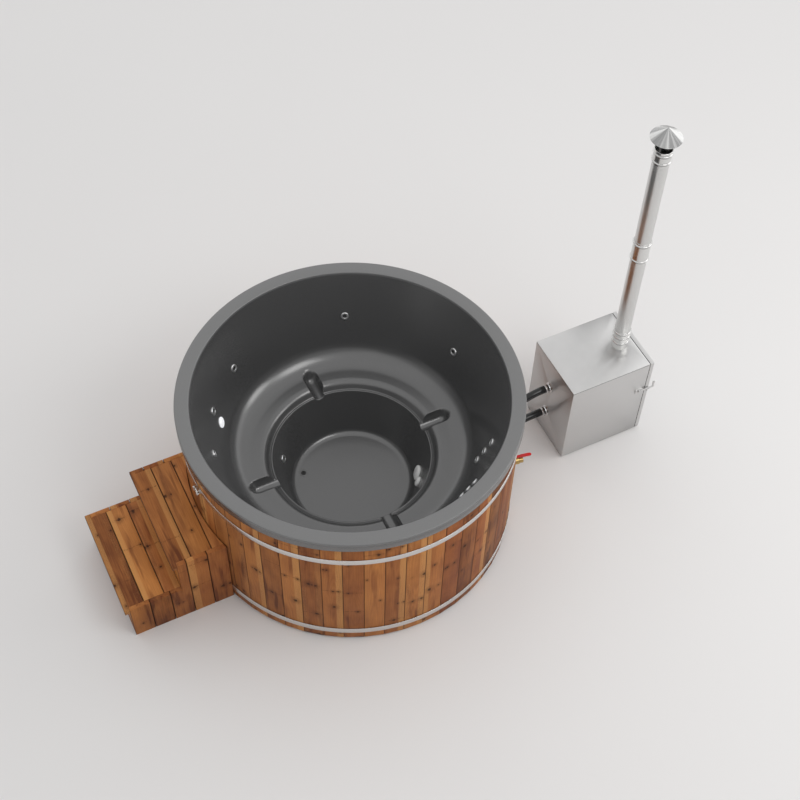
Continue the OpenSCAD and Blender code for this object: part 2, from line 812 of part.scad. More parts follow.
module lamp() {
  rim_t = 4;
  dome_t = 5;
  dome_in = 4;
  dome_slope = 12;
  tail = 30;
  lift = pow(lamp_d / 2, 2) / (2 * wall_r(lamp_h - lamp_d)) + seat;
  color(white_c) on_wall(lamp_angle, lamp_h) {
    translate([0, 0, lift]) {
      cylinder(d = lamp_d, h = rim_t);
      translate([0, 0, rim_t])
        cylinder(d1 = lamp_d - dome_in, d2 = lamp_d - dome_in - dome_slope, h = dome_t);
    }
    translate([0, 0, -liner_t - tail]) cylinder(d = jet_body_d, h = liner_t + tail + lift + rim_t);
    translate([0, 0, -liner_t - seat - fitting_nut_t]) cylinder(d = jet_nut_d, h = fitting_nut_t);
  }
}

// ================= Water fittings =================
module water_cover(angle, z, d) {
  hole_d = 7;
  hole_count = 10;
  hole_ring = 0.3;    // share of the cover's diameter, as the two below
  flat_d = 0.7;
  rim_t = cover_t * 0.6;
  intersection() {
    on_well(angle, z) difference() {
      translate([0, 0, -liner_t]) {
        cylinder(d = d, h = liner_t + rim_t);
        translate([0, 0, liner_t + rim_t]) cylinder(d1 = d, d2 = d * flat_d, h = cover_t - rim_t);
      }
      for (i = [0 : hole_count - 1]) rotate([0, 0, i * 360 / hole_count])
        translate([d * hole_ring, 0, -liner_t - through])
          cylinder(d = hole_d, h = liner_t + cover_t + 2 * through, $fn = 24);
    }
    bathing_space(-seat);
  }
  on_well(angle, z) {
    translate([0, 0, -tail_l + elbow_r + seat]) cylinder(d = water_tail_d, h = tail_l - elbow_r);
    translate([0, 0, -liner_t - seat - fitting_nut_t])
      cylinder(d = water_tail_d + water_nut_wide, h = fitting_nut_t - seat);
  }
}
module water_covers() {
  color(white_c) {
    water_cover(cover_angle, cover_h, cover_d);
    water_cover(return_angle, return_h, return_d);
  }
}
module inner_pipes() {
  color(black_c) {
    pipe_between(well_tail(return_angle, return_h), spigot_end(tub_port_upper_h), water_d / 2, elbow_r);
    pipe_between(well_tail(cover_angle, cover_h), spigot_end(tub_port_lower_h), water_d / 2, elbow_r);
  }
}
// A spigot runs right through the staves, with a flange on the outside
module tub_spigot(z) {
  nut_t = 8;
  inner_x = stave_in_r - spigot_in + elbow_r + seat;
  flange_x = stave_out_r + seat;
  translate([0, hose_y, z]) rotate([0, 90, 0]) {
    translate([0, 0, inner_x]) cylinder(d = spigot_d, h = flange_x - inner_x);
    translate([0, 0, flange_x]) cylinder(d = flange_d, h = flange_t);
    translate([0, 0, flange_x]) tube(spigot_d / 2, spigot_d / 2 - spigot_t, spigot_l + flange_t);
    translate([0, 0, spigot_nut_face - nut_t]) cylinder(d = spigot_nut_d, h = nut_t);
  }
}
module tub_spigots() {
  color(steel_c) {
    tub_spigot(tub_port_upper_h);
    tub_spigot(tub_port_lower_h);
  }
}

// ================= Drain =================
module drain_strainer() {
  color(steel_c) translate([drain_p[0], drain_p[1], 0]) difference() {
    union() {
      translate([0, 0, well_floor_h]) cylinder(d = drain_d, h = drain_flange_t);
      translate([0, 0, drain_pipe_h + drain_pipe_d / 2 + seat])
        cylinder(d = drain_tail_d, h = well_floor_h - drain_pipe_h - drain_pipe_d / 2);
    }
    translate([0, 0, drain_pipe_h]) cylinder(d = drain_hole_d, h = well_floor_h);
  }
}
module drain_pipe() {
  r = drain_pipe_d / 2;
  color(black_c) {
    translate([0, 0, drain_pipe_h]) {
      translate([drain_p[0], valve_elbow[1], 0]) rotate([-90, 0, 0])
        cylinder(r = r, h = drain_p[1] + r - valve_elbow[1]);
      translate([drain_p[0], valve_elbow[1], 0]) rotate([0, 90, 0])
        cylinder(r = r, h = valve_elbow[0] - drain_p[0]);
      for (p = [[drain_p[0], valve_elbow[1]], valve_elbow]) translate([p[0], p[1], 0])
        cylinder(r = r + drain_sleeve, h = drain_pipe_d + drain_sleeve / 2, center = true);
    }
    valve_axis() translate([-drain_bend, 0, 0]) rotate([0, 90, 0])
      cylinder(r = r, h = drain_bend - valve_l / 2 - seat);
  }
}
module valve_axis() {
  translate([valve_x, valve_y, drain_pipe_h]) rotate([0, 0, valve_turn]) children();
}
// Body drawn along the pipe, with a seat for the ball and a neck for its stem
module valve_body() {
  color(brass_c) valve_axis() difference() {
    union() {
      translate([-valve_l / 2, 0, 0]) rotate([0, 90, 0]) cylinder(d = valve_d, h = valve_l);
      translate([valve_l / 2, 0, 0]) rotate([0, 90, 0]) cylinder(d = drain_pipe_d, h = outlet_l);
      cylinder(d = stem_d + 2 * valve_neck_wall, h = valve_d / 2 + valve_neck_wall);
    }
    sphere(r = ball_r + seat);
    translate([-valve_l / 2 - through, 0, 0]) rotate([0, 90, 0])
      cylinder(r = valve_bore_r, h = valve_l + outlet_l + 2 * through);
    cylinder(d = stem_d + 2 * turn_gap, h = valve_d);
  }
}
module valve_lever() {
  color(red_c) valve_axis() {
    difference() {
      sphere(r = ball_r);
      rotate([0, 90, 0]) cylinder(r = valve_bore_r, h = 4 * ball_r, center = true);
    }
    translate([0, 0, valve_bore_r + stem_foot])
      cylinder(d = stem_d, h = lever_h - drain_pipe_h + lever_t + stem_above - valve_bore_r - stem_foot);
    translate([0, 0, lever_h - drain_pipe_h]) {
      cylinder(d = lever_w + lever_hub_wide, h = lever_t);
      translate([0, -lever_w / 2, 0]) cube([lever_l - lever_w / 2, lever_w, lever_t]);
      translate([lever_l - lever_w / 2, 0, 0]) cylinder(d = lever_w, h = lever_t);
      translate([lever_l / 3, -(lever_w + lever_grip_wide) / 2, -(lever_grip_t - lever_t) / 2])
        cube([lever_l * 2 / 3 - lever_w / 2, lever_w + lever_grip_wide, lever_grip_t]);
    }
  }
}

// ================= Hoses =================
// Rings of points along the centre line, straight over each spigot with an easy S between
function hose_path(z0, z1) = let (run = hose_x1 - hose_x0 - 2 * hose_grip, rise = z1 - z0) concat(
  [[hose_x0, z0, 0]],
  [for (i = [0 : hose_rings]) let (t = i / hose_rings)
    [hose_x0 + hose_grip + run * t, z0 + rise * t * t * (3 - 2 * t), atan(rise * 6 * t * (1 - t) / run)]],
  [[hose_x1, z1, 0]]);
function hose_points(path, r) = [for (p = path, k = [0 : hose_sides - 1]) let (a = 360 * k / hose_sides)
  [p[0] - r * cos(a) * sin(p[2]), hose_y + r * sin(a), p[1] + r * cos(a) * cos(p[2])]];
// Triangles between neighbouring rings, from the point with number first
function hose_wall(n, first, outer) = [for (i = [0 : n - 2], k = [0 : hose_sides - 1])
  let (a = first + i * hose_sides + k, b = first + i * hose_sides + (k + 1) % hose_sides,
    c = a + hose_sides, d = b + hose_sides)
  each outer ? [[a, b, d], [a, d, c]] : [[a, d, b], [a, c, d]]];
module hose(z0, z1) {
  path = hose_path(z0, z1);
  n = len(path);
  inner = n * hose_sides;
  last = (n - 1) * hose_sides;
  ends = [for (k = [0 : hose_sides - 1]) let (m = (k + 1) % hose_sides)
    each [[m, k, inner + k, inner + m],
      [last + k, last + m, inner + last + m, inner + last + k]]];
  color(black_c) polyhedron(
    points = concat(hose_points(path, hose_d / 2), hose_points(path, hose_in_d / 2)),
    faces = concat(hose_wall(n, 0, true), hose_wall(n, inner, false), ends));
}
module hose_upper() { hose(tub_port_upper_h, heater_port_upper_h); }
module hose_lower() { hose(tub_port_lower_h, heater_port_lower_h); }
module hose_clamp() {
  tube(hose_d / 2 + seat + clamp_t, hose_d / 2 + seat, clamp_w);
  translate([hose_d / 2 + seat + clamp_t / 2, -clamp_box_w / 2, 0])
    cube([clamp_box_l, clamp_box_w, clamp_w]);
}
module hose_clamps() {
  ends = [[tub_port_upper_h, heater_port_upper_h], [tub_port_lower_h, heater_port_lower_h]];
  color(steel_c) for (p = ends) {
    translate([hose_x0 + clamp_w, hose_y, p[0]]) rotate([0, 90, 0]) hose_clamp();
    translate([hose_x1 - 2 * clamp_w, hose_y, p[1]]) rotate([0, 90, 0]) hose_clamp();
  }
}

// ================= Heater =================
module heater_body() {
  color(steel_c) difference() {
    translate([heater_x, heater_y0, heater_foot_h])
      cube([heater_l, heater_w, heater_h - heater_foot_h]);
    translate([heater_x + sheet_t, heater_y0 + sheet_t, heater_foot_h + sheet_t])
      cube([heater_l, heater_w - 2 * sheet_t, heater_h - heater_foot_h - 2 * sheet_t]);
    translate([flue_x, flue_y, heater_h - sheet_t - through])
      cylinder(r = spigot_flue_r + seat, h = sheet_t + 2 * through);
    for (z = [heater_port_upper_h, heater_port_lower_h])
      translate([heater_x - through, hose_y, z]) rotate([0, 90, 0])
        cylinder(d = spigot_d + 2 * hole_gap, h = sheet_t + 2 * through);
  }
}
module heater_feet() {
  inset = heater_foot_d / 2 + foot_inset;
  color(steel_c) for (x = [heater_x + inset, heater_x1 - inset], y = [heater_y0 + inset, heater_y1 - inset])
    translate([x, y, 0]) cylinder(d = heater_foot_d, h = heater_foot_h);
}
module firebox() {
  y_l = fire_y0 + firebox_t;
  y_r = fire_y1 - firebox_t - ledge_w;
  color(iron_c) difference() {
    union() {
      difference() {
        translate([fire_x, fire_y0, fire_z0])
          cube([heater_x1 - fire_x, fire_y1 - fire_y0, fire_z1 - fire_z0]);
        translate([fire_x + firebox_t, fire_y0 + firebox_t, fire_z0 + firebox_t])
          cube([heater_x1, fire_y1 - fire_y0 - 2 * firebox_t, fire_z1 - fire_z0 - 2 * firebox_t]);
      }
      for (y = [y_l, y_r], z = [fire_z0 + grate_h - ledge_t, fire_z1 - smoke_plate_drop - ledge_t])
        translate([fire_x + firebox_t, y, z])
          cube([heater_x1 - fire_x - firebox_t - ledge_short, ledge_w, ledge_t]);
    }
    translate([flue_x, flue_y, fire_z1 - firebox_t - through])
      cylinder(r = spigot_flue_r + seat, h = firebox_t + 2 * through);
  }
}
// Closes the water space round the firebox's mouth
module front_frame() {
  color(steel_c) difference() {
    translate([heater_x1 - frame_t, heater_y0 + sheet_t, heater_foot_h + sheet_t])
      cube([frame_t, heater_w - 2 * sheet_t, heater_h - heater_foot_h - 2 * sheet_t]);
    translate([heater_x1 - frame_t - through, fire_y0, fire_z0])
      cube([frame_t + 2 * through, fire_y1 - fire_y0, fire_z1 - fire_z0]);
  }
}
module grate() {
  x0 = fire_x + firebox_t + grate_back_gap;
  l = heater_x1 - grate_front_gap - x0;
  y0 = fire_y0 + firebox_t + grate_gap;
  w = fire_y1 - fire_y0 - 2 * (firebox_t + grate_gap);
  n = floor(w / (grate_spread * grate_bar));
  color(iron_c) translate([x0, y0, fire_z0 + grate_h]) {
    for (i = [0 : n]) translate([0, i * (w - grate_bar) / n, 0]) cube([l, grate_bar, grate_bar]);
    for (x = [0, l - grate_bar]) translate([x, 0, 0]) cube([grate_bar, w, grate_bar]);
  }
}
module smoke_plate() {
  x0 = fire_x + firebox_t + smoke_plate_back;
  w = fire_y1 - fire_y0 - 2 * (firebox_t + grate_gap);
  color(iron_c) translate([x0, fire_y0 + firebox_t + grate_gap, fire_z1 - smoke_plate_drop])
    cube([heater_x1 - smoke_plate_front - x0, w, smoke_plate_t]);
}
module heater_spigot(z) {
  root = sheet_t + spigot_root;
  translate([heater_x, hose_y, z]) rotate([0, -90, 0]) {
    difference() {
      union() {
        translate([0, 0, -root]) cylinder(d = spigot_d, h = spigot_l + flange_t + root);
        cylinder(d = flange_d, h = flange_t);
      }
      translate([0, 0, -root - through])
        cylinder(d = spigot_d - 2 * spigot_t, h = spigot_l + flange_t + root + 2 * through);
    }
  }
}
module heater_spigots() {
  color(steel_c) {
    heater_spigot(heater_port_upper_h);
    heater_spigot(heater_port_lower_h);
  }
}

// Lift-off hinges: the body's knuckle is the lower one and holds the pin
module body_knuckle(z) {
  leaf_l = 46;
  leaf_t = 3;
  block_l = 14;
  arm_t = 6;
  difference() {
    union() {
      translate([hinge_x, hinge_y, z - knuckle_l]) cylinder(r = knuckle_r, h = knuckle_l);
      translate([heater_x1 - leaf_l, heater_y1, z - knuckle_l]) cube([leaf_l, leaf_t, knuckle_l]);
      translate([heater_x1 - block_l, heater_y1, z - knuckle_l])
        cube([block_l, hinge_out + arm_t / 2, knuckle_l]);
      translate([heater_x1 - block_l, hinge_y - arm_t / 2, z - knuckle_l])
        cube([hinge_x - heater_x1 + block_l, arm_t, knuckle_l]);
    }
    translate([hinge_x, hinge_y, z - knuckle_l - through])
      cylinder(d = hinge_pin_d + 2 * turn_gap, h = knuckle_l + 2 * through);
  }
}
module hinge_leaves() {
  color(steel_c) {
    body_knuckle(hinge_low_h);
    body_knuckle(hinge_high_h);
  }
}
module hinge_pins() {
  color(chrome_c) for (z = [hinge_low_h, hinge_high_h])
    translate([hinge_x, hinge_y, z - knuckle_l]) cylinder(d = hinge_pin_d, h = 2 * knuckle_l);
}
module door_knuckles() {
  arm_w = 12;
  color(steel_c) for (z = [hinge_low_h, hinge_high_h]) difference() {
    union() {
      translate([hinge_x, hinge_y, z + knuckle_split]) cylinder(r = knuckle_r, h = knuckle_l);
      translate([hinge_x - arm_w / 2, heater_y1, z + knuckle_split]) cube([arm_w, hinge_out, knuckle_l]);
    }
    translate([hinge_x, hinge_y, z - through])
      cylinder(d = hinge_pin_d + 2 * turn_gap, h = knuckle_l + 2 * through);
  }
}

// ================= Heater door =================
module intake_cut(x, depth) {
  for (i = [0 : intake_slots - 1])
    translate([x - through, heater_y - intake_w / 2 + i * intake_pitch, intake_h - slot_h / 2])
      cube([depth + 2 * through, slot_w, slot_h]);
}
module door_shell() {
  color(steel_c) difference() {
    translate([door_x, heater_y0, heater_foot_h]) cube([door_t, heater_w, heater_h - heater_foot_h]);
    translate([door_x - through, heater_y0 + door_sheet_t, heater_foot_h + door_sheet_t])
      cube([door_t - door_sheet_t + through, heater_w - 2 * door_sheet_t,
        heater_h - heater_foot_h - 2 * door_sheet_t]);
    intake_cut(door_x, door_t);
  }
}
module door_insulation() {
  color(felt_c) difference() {
    translate([door_x + inner_plate_t, heater_y0 + door_sheet_t, heater_foot_h + door_sheet_t])
      cube([door_t - door_sheet_t - inner_plate_t, heater_w - 2 * door_sheet_t,
        heater_h - heater_foot_h - 2 * door_sheet_t]);
    intake_cut(door_x, door_t);
  }
}
module door_inner_plate() {
  color(iron_c) difference() {
    translate([door_x, heater_y0 + door_sheet_t, heater_foot_h + door_sheet_t])
      cube([inner_plate_t, heater_w - 2 * door_sheet_t, heater_h - heater_foot_h - 2 * door_sheet_t]);
    intake_cut(door_x, inner_plate_t);
  }
}
// Rope seal that meets the frame round the firebox's mouth
module door_seal() {
  out = seal_edge + seal_w;
  color(felt_c) difference() {
    translate([heater_x1 + seat, fire_y0 - out, fire_z0 - out])
      cube([door_gap - seat, fire_y1 - fire_y0 + 2 * out, fire_z1 - fire_z0 + 2 * out]);
    translate([heater_x1 - through, fire_y0 - seal_edge, fire_z0 - seal_edge])
      cube([door_gap + 2 * through, fire_y1 - fire_y0 + 2 * seal_edge, fire_z1 - fire_z0 + 2 * seal_edge]);
  }
}
module door_stud() {
  color(chrome_c) translate([stud_x, heater_y0, stud_z]) rotate([90, 0, 0])
    cylinder(d = stud_d, h = latch_plate_t + latch_t + 2 * seat + stud_out);
}
module shutter_rails() {
  d = shutter_t + 2 * shutter_gap;
  y0 = heater_y - rail_l / 2 + shutter_travel / 2;
  color(steel_c) for (s = [-1, 1]) translate([door_x1, y0, intake_h]) mirror([0, 0, s < 0 ? 1 : 0]) {
    translate([0, 0, shutter_h / 2 + shutter_gap]) cube([d + rail_t, rail_l, rail_w]);
    translate([d, 0, shutter_h / 2 + shutter_gap - rail_lip]) cube([rail_t, rail_l, rail_w]);
  }
}
module air_shutter() {
  y0 = heater_y - shutter_w / 2;
  color(steel_c) {
    difference() {
      translate([door_x1 + shutter_gap, y0, intake_h - shutter_h / 2])
        cube([shutter_t, shutter_w, shutter_h]);
      intake_cut(door_x1, shutter_t + 2 * shutter_gap);
    }
    translate([door_x1 + shutter_gap + shutter_t, y0 + shutter_travel / 2, intake_h]) rotate([0, 90, 0]) {
      cylinder(d = knob_neck_d, h = knob_neck_l);
      translate([0, 0, knob_neck_l]) cylinder(d = knob_d, h = knob_l);
    }
  }
}

// ================= Latch =================
module latch_plate() {
  color(steel_c) {
    translate([latch_x - latch_plate_w / 2, heater_y0 - latch_plate_t, latch_h - latch_plate_h / 2])
      cube([latch_plate_w, latch_plate_t, latch_plate_h]);
    translate([latch_x, heater_y0 - latch_plate_t, latch_h]) rotate([90, 0, 0]) {
      cylinder(d = latch_pin_d, h = latch_t + 2 * seat);
      translate([0, 0, latch_t + 2 * seat]) cylinder(d = latch_pin_d + pivot_head_wide, h = pivot_head_t);
    }
  }
}
module latch_lever() {
  color(chrome_c) translate([latch_x, latch_y, latch_h]) rotate([90, 0, 0]) difference() {
    union() {
      cylinder(d = latch_bar_h + latch_hub_wide, h = latch_t);
      translate([0, -latch_bar_h / 2, 0]) cube([latch_reach, latch_bar_h, latch_t]);
      translate([nose_x, -latch_bar_h / 2 - latch_nose_h, 0])
        cube([nose_l, latch_nose_h + through, latch_t]);
      translate([latch_reach - latch_bar_h, 0, 0]) cube([latch_bar_h, latch_grip_h, latch_t]);
      translate([latch_reach - latch_bar_h / 2, latch_grip_h, 0])
        cylinder(d = latch_bar_h + latch_grip_wide, h = latch_t);
    }
    translate([0, 0, -through]) cylinder(d = latch_pin_d + 2 * turn_gap, h = latch_t + 2 * through);
  }
}

// ================= Flue =================
module flue_at(z) {
  translate([flue_x, flue_y, z]) children();
}
module flue_spigot() {
  z0 = fire_z1 - firebox_t;
  color(steel_c) flue_at(z0) tube(spigot_flue_r, spigot_flue_r - flue_spigot_t, flue_spigot_top - z0);
}
// A socket with raised ribs at the given heights above its foot
module socket(h, ribs) {
  difference() {
    union() {
      cylinder(r = socket_r, h = h);
      for (z = ribs) translate([0, 0, z - rib_h / 2]) {
        cylinder(d1 = 2 * socket_r, d2 = rib_d, h = rib_h / 2);
        translate([0, 0, rib_h / 2]) cylinder(d1 = rib_d, d2 = 2 * socket_r, h = rib_h / 2);
      }
    }
    translate([0, 0, -through]) cylinder(r = flue_r + seat, h = h + 2 * through);
  }
}
module flue_base() { color(chrome_c) flue_at(heater_h) socket(base_socket_h, base_ribs); }
module flue_lower() {
  color(steel_c) flue_at(heater_h) tube(flue_r, flue_in_r, flue_joint_h - heater_h);
}
module flue_socket() {
  color(chrome_c) flue_at(flue_joint_h - mid_socket_h / 2) socket(mid_socket_h, mid_ribs);
}
module flue_upper() {
  color(steel_c) flue_at(flue_joint_h) tube(flue_r, flue_in_r, flue_mouth_h - flue_joint_h - flue_short);
}
module flue_top() { color(chrome_c) flue_at(flue_mouth_h - top_socket_h) socket(top_socket_h, top_ribs); }
// A thin cone on straps that run down inside the flue's mouth
module rain_cap() {
  inner_h = cap_cone_h - 1.5 * cap_wall;
  strap_top_h = cap_foot_h + cap_cone_h * (1 - (strap_x + strap_t) / (cap_d / 2)) - 1.5 * strap_t;
  color(chrome_c) {
    flue_at(cap_foot_h) difference() {
      union() {
        cylinder(d = cap_d, h = cap_rim_t);
        translate([0, 0, cap_rim_t]) cylinder(d1 = cap_d, d2 = cap_tip_d, h = cap_cone_h - cap_rim_t);
      }
      translate([0, 0, -0.01]) cylinder(d1 = cap_d - 2 * cap_wall, d2 = 0, h = inner_h);
    }
    for (i = [0 : strap_count - 1])
      flue_at(flue_mouth_h - strap_down) rotate([0, 0, strap_turn + i * 360 / strap_count])
        translate([strap_x, -strap_w / 2, 0])
          cube([strap_t, strap_w, strap_top_h - flue_mouth_h + strap_down]);
  }
}

// ================= Steps =================
module tub_clearance() {
  translate([0, 0, -through]) cylinder(r = step_tub_r, h = rim_h, $fn = 180);
}
// Boards along Y from the nose inwards, notched round the side boards
module treads(x0, x1, h) {
  n = ceil((x1 - x0) / step_pitch);
  color(wood_c) difference() {
    for (i = [0 : n - 1]) {
      a = x0 + i * step_pitch;
      b = min(a + step_board_w, x1);
      if (b - a > least_board) translate([a, step_y0, h - step_board_t]) cube([b - a, step_w, step_board_t]);
    }
    for (y = [step_y0 - through, step_y1 - step_board_t - seat])
      translate([x0 + step_nose - seat, y, 0]) cube([step_out, step_board_t + seat + through, h + through]);
    tub_clearance();
  }
}
module step_treads_low() { treads(-step_out, step_riser_high_x, step_low_h); }
module step_treads_high() {
  treads(step_nose_high_x, -step_tub_r * cos(asin(step_w / 2 / step_tub_r)), step_high_h);
}
module risers(x, z0, z1) {
  n = max(1, round((z1 - z0) / step_pitch));
  h = (z1 - z0 - (n - 1) * step_board_gap) / n;
  for (i = [0 : n - 1]) translate([x, step_y0 + step_board_t + seat, z0 + i * (h + step_board_gap)])
    cube([step_board_t, step_w - 2 * step_board_t - 2 * seat, h]);
}
module step_risers() {
  color(wood_c) {
    risers(step_riser_low_x, 0, step_low_h - step_board_t);
    risers(step_riser_high_x, step_low_h, step_high_h - step_board_t);
  }
}
// Upright boards that finish level with the treads
module side(y) {
  n = ceil((-step_riser_low_x - stave_out_r * side_reach) / step_pitch);
  color(wood_c) difference() {
    for (i = [0 : n - 1]) {
      a = step_riser_low_x + i * step_pitch;
      b = a + step_board_w;
      low = min(b, step_riser_high_x) - a;
      if (low > 0) translate([a, y, 0]) cube([low, step_board_t, step_low_h]);
      if (b > step_riser_high_x) translate([max(a, step_riser_high_x), y, 0])
        cube([b - max(a, step_riser_high_x), step_board_t, step_high_h]);
    }
    tub_clearance();
  }
}
module step_side_near() { side(step_y0); }
module step_side_far() { side(step_y1 - step_board_t); }
module step_frame() {
  y_in = [step_y0 + step_board_t, step_y1 - step_board_t - step_rail_w];
  x_low = step_riser_low_x + step_board_t;
  x_high = step_riser_high_x + step_board_t;
  back = -step_tub_r * cos(asin((step_w / 2) / step_tub_r));
  low_post_h = step_low_h - step_board_t - step_rail_w - seat;
  high_post_h = step_high_h - step_board_t - step_rail_w - seat;
  color(raw_wood_c) difference() {
    for (y = y_in) {
      // Rail under the lower tread, and the posts that carry it
      translate([x_low, y, step_low_h - step_board_t - step_rail_w])
        cube([step_riser_high_x - x_low, step_rail_w, step_rail_w]);
      translate([x_low, y, 0]) cube([step_rail_w, step_rail_w, low_post_h]);
      // Rail under the upper tread, and its posts
      translate([x_high, y, step_high_h - step_board_t - step_rail_w])
        cube([back - x_high, step_rail_w, step_rail_w]);
      for (x = [x_high, -step_tub_r - step_rail_w - post_back])
        translate([x, y, 0]) cube([step_rail_w, step_rail_w, high_post_h]);
    }
    tub_clearance();
  }
}

liner();
staves();
hoop_upper();
hoop_lower();
hoop_lugs();
hoop_screws();
base_joists();
base_boards();
well_beams();
bench_posts();
stave_ring();
jet_bezels();
jet_bodies();
air_pipe();
air_blower();
lamp();
water_covers();
inner_pipes();
tub_spigots();
drain_strainer();
drain_pipe();
valve_body();
valve_lever();
hose_upper();
hose_lower();
hose_clamps();
heater_body();
heater_feet();
firebox();
front_frame();
grate();
smoke_plate();
heater_spigots();
hinge_leaves();
hinge_pins();
latch_plate();
latch_lever();
door_shell();
door_insulation();
door_inner_plate();
door_seal();
door_knuckles();
door_stud();
shutter_rails();
air_shutter();
flue_spigot();
flue_base();
flue_lower();
flue_socket();
flue_upper();
flue_top();
rain_cap();
step_treads_low();
step_treads_high();
step_risers();
step_side_near();
step_side_far();
step_frame();
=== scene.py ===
import math
import random

import bpy
from mathutils import Matrix, Vector


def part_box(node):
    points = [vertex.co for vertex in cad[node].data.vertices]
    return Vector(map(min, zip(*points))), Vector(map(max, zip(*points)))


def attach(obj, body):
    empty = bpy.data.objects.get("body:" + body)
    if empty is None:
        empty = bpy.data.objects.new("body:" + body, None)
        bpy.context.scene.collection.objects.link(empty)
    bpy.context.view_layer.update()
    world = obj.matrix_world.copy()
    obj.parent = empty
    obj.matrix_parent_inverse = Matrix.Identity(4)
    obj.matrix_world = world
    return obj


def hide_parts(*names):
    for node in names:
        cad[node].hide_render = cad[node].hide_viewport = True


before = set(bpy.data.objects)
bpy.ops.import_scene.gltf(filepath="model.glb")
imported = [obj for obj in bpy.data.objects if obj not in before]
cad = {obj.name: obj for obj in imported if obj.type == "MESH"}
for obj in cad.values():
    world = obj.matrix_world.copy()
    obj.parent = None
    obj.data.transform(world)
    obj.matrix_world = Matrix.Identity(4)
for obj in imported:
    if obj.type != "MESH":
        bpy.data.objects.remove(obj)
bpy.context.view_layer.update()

# ---------------------------------------------------------------- Camera
# The photograph's viewpoint: high in front of the tub and a little to its left, looking down
# with a long lens and the camera rolled slightly.
camera_place = (-1.941, -4.337, 7.452)
camera_heading = math.radians(-27.5)
camera_tilt = math.radians(36.528)
camera_roll = math.radians(1.79)

bpy.ops.object.select_all(action="DESELECT")
bpy.ops.object.camera_add(location=camera_place)
camera = bpy.context.object
camera.rotation_euler = (
    Matrix.Rotation(camera_heading, 3, "Z")
    @ Matrix.Rotation(camera_tilt, 3, "X")
    @ Matrix.Rotation(camera_roll, 3, "Z")
).to_euler()
camera.data.lens = 62.85
camera.data.sensor_width = 36.0
bpy.context.scene.camera = camera
bpy.context.scene.view_settings.view_transform = "Standard"

# ---------------------------------------------------------------- Floor and lights
# A seamless pale studio floor that glows softly far off, under a softbox ceiling, with a ring
# of bright screens all round and two smaller, stronger lamps at the front right.


class Value:
    """A number, colour or vector on its way through a finish. Sums with it become Math nodes."""

    def __init__(self, nodes, socket):
        self.nodes = nodes
        self.socket = socket

    def maths(self, operation, first, second=0.0):
        return self.nodes.node("ShaderNodeMath", {"operation": operation}, {0: first, 1: second})

    def __add__(self, other):
        return self.maths("ADD", self, other)

    def __sub__(self, other):
        return self.maths("SUBTRACT", self, other)

    def __rsub__(self, other):
        return self.maths("SUBTRACT", other, self)

    def __mul__(self, other):
        return self.maths("MULTIPLY", self, other)

    def __truediv__(self, other):
        return self.maths("DIVIDE", self, other)

    def __pow__(self, other):
        return self.maths("POWER", self, other)

    __radd__ = __add__
    __rmul__ = __mul__


class Nodes:
    """The nodes of one finish, or of the surround."""

    def __init__(self, tree):
        self.tree = tree

    def node(self, kind, settings=None, inputs=None, output=0):
        """Makes a node with its settings and inputs, and gives one of its outputs."""
        made = self.tree.nodes.new(kind)
        for name, value in (settings or {}).items():
            if name == "stops":
                for number, (position, colour) in enumerate(value):
                    stops = made.color_ramp.elements
                    stop = stops[number] if number < 2 else stops.new(position)
                    stop.position = position
                    stop.color = (*colour, 1.0)
            else:
                setattr(made, name, value)
        for name, value in (inputs or {}).items():
            if isinstance(value, Value):
                self.tree.links.new(value.socket, made.inputs[name])
            else:
                made.inputs[name].default_value = value
        return Value(self, made.outputs[output])


class Paint(Nodes):
    """The finish of a piece, put together from values."""

    def __init__(self, name, **values):
        self.material = bpy.data.materials.new(name)
        self.material.use_nodes = True
        super().__init__(self.material.node_tree)
        self.shader = self.tree.nodes["Principled BSDF"]
        for words, value in values.items():
            self.set(words, value)

    def set(self, words, value):
        socket = self.shader.inputs[words.replace("_", " ").title().replace("Ior", "IOR")]
        if isinstance(value, Value):
            self.tree.links.new(value.socket, socket)
        elif hasattr(value, "__len__"):
            socket.default_value = (*value, 1.0)
        else:
            socket.default_value = value

    def place(self, scale=(1, 1, 1), turn=(0, 0, 0)):
        here = self.node("ShaderNodeTexCoord", output=3)
        return self.node("ShaderNodeMapping", inputs={0: here, 2: turn, 3: scale})

    def split(self, value, kind):
        parts = self.node(kind, inputs={0: value}).socket.node.outputs
        return [Value(self, parts[i]) for i in range(3)]

    def noise(self, where, scale, detail=3.0, roughness=0.55):
        inputs = {"Vector": where, "Scale": scale, "Detail": detail, "Roughness": roughness}
        return self.node("ShaderNodeTexNoise", inputs=inputs)

    def step(self, value, low, high, to_low=0.0, to_high=1.0):
        return self.node(
            "ShaderNodeMapRange",
            {"interpolation_type": "SMOOTHSTEP"},
            {"Value": value, "From Min": low, "From Max": high, "To Min": to_low, "To Max": to_high},
        )

    def mix(self, factor, first, second):
        first = first if isinstance(first, Value) else (*first, 1.0)
        second = second if isinstance(second, Value) else (*second, 1.0)
        return self.node("ShaderNodeMix", {"data_type": "RGBA"}, {0: factor, 6: first, 7: second}, output=2)

    def bump(self, height, strength, distance):
        relief = self.node(
            "ShaderNodeBump", inputs={"Height": height, "Strength": strength, "Distance": distance}
        )
        self.set("normal", relief)


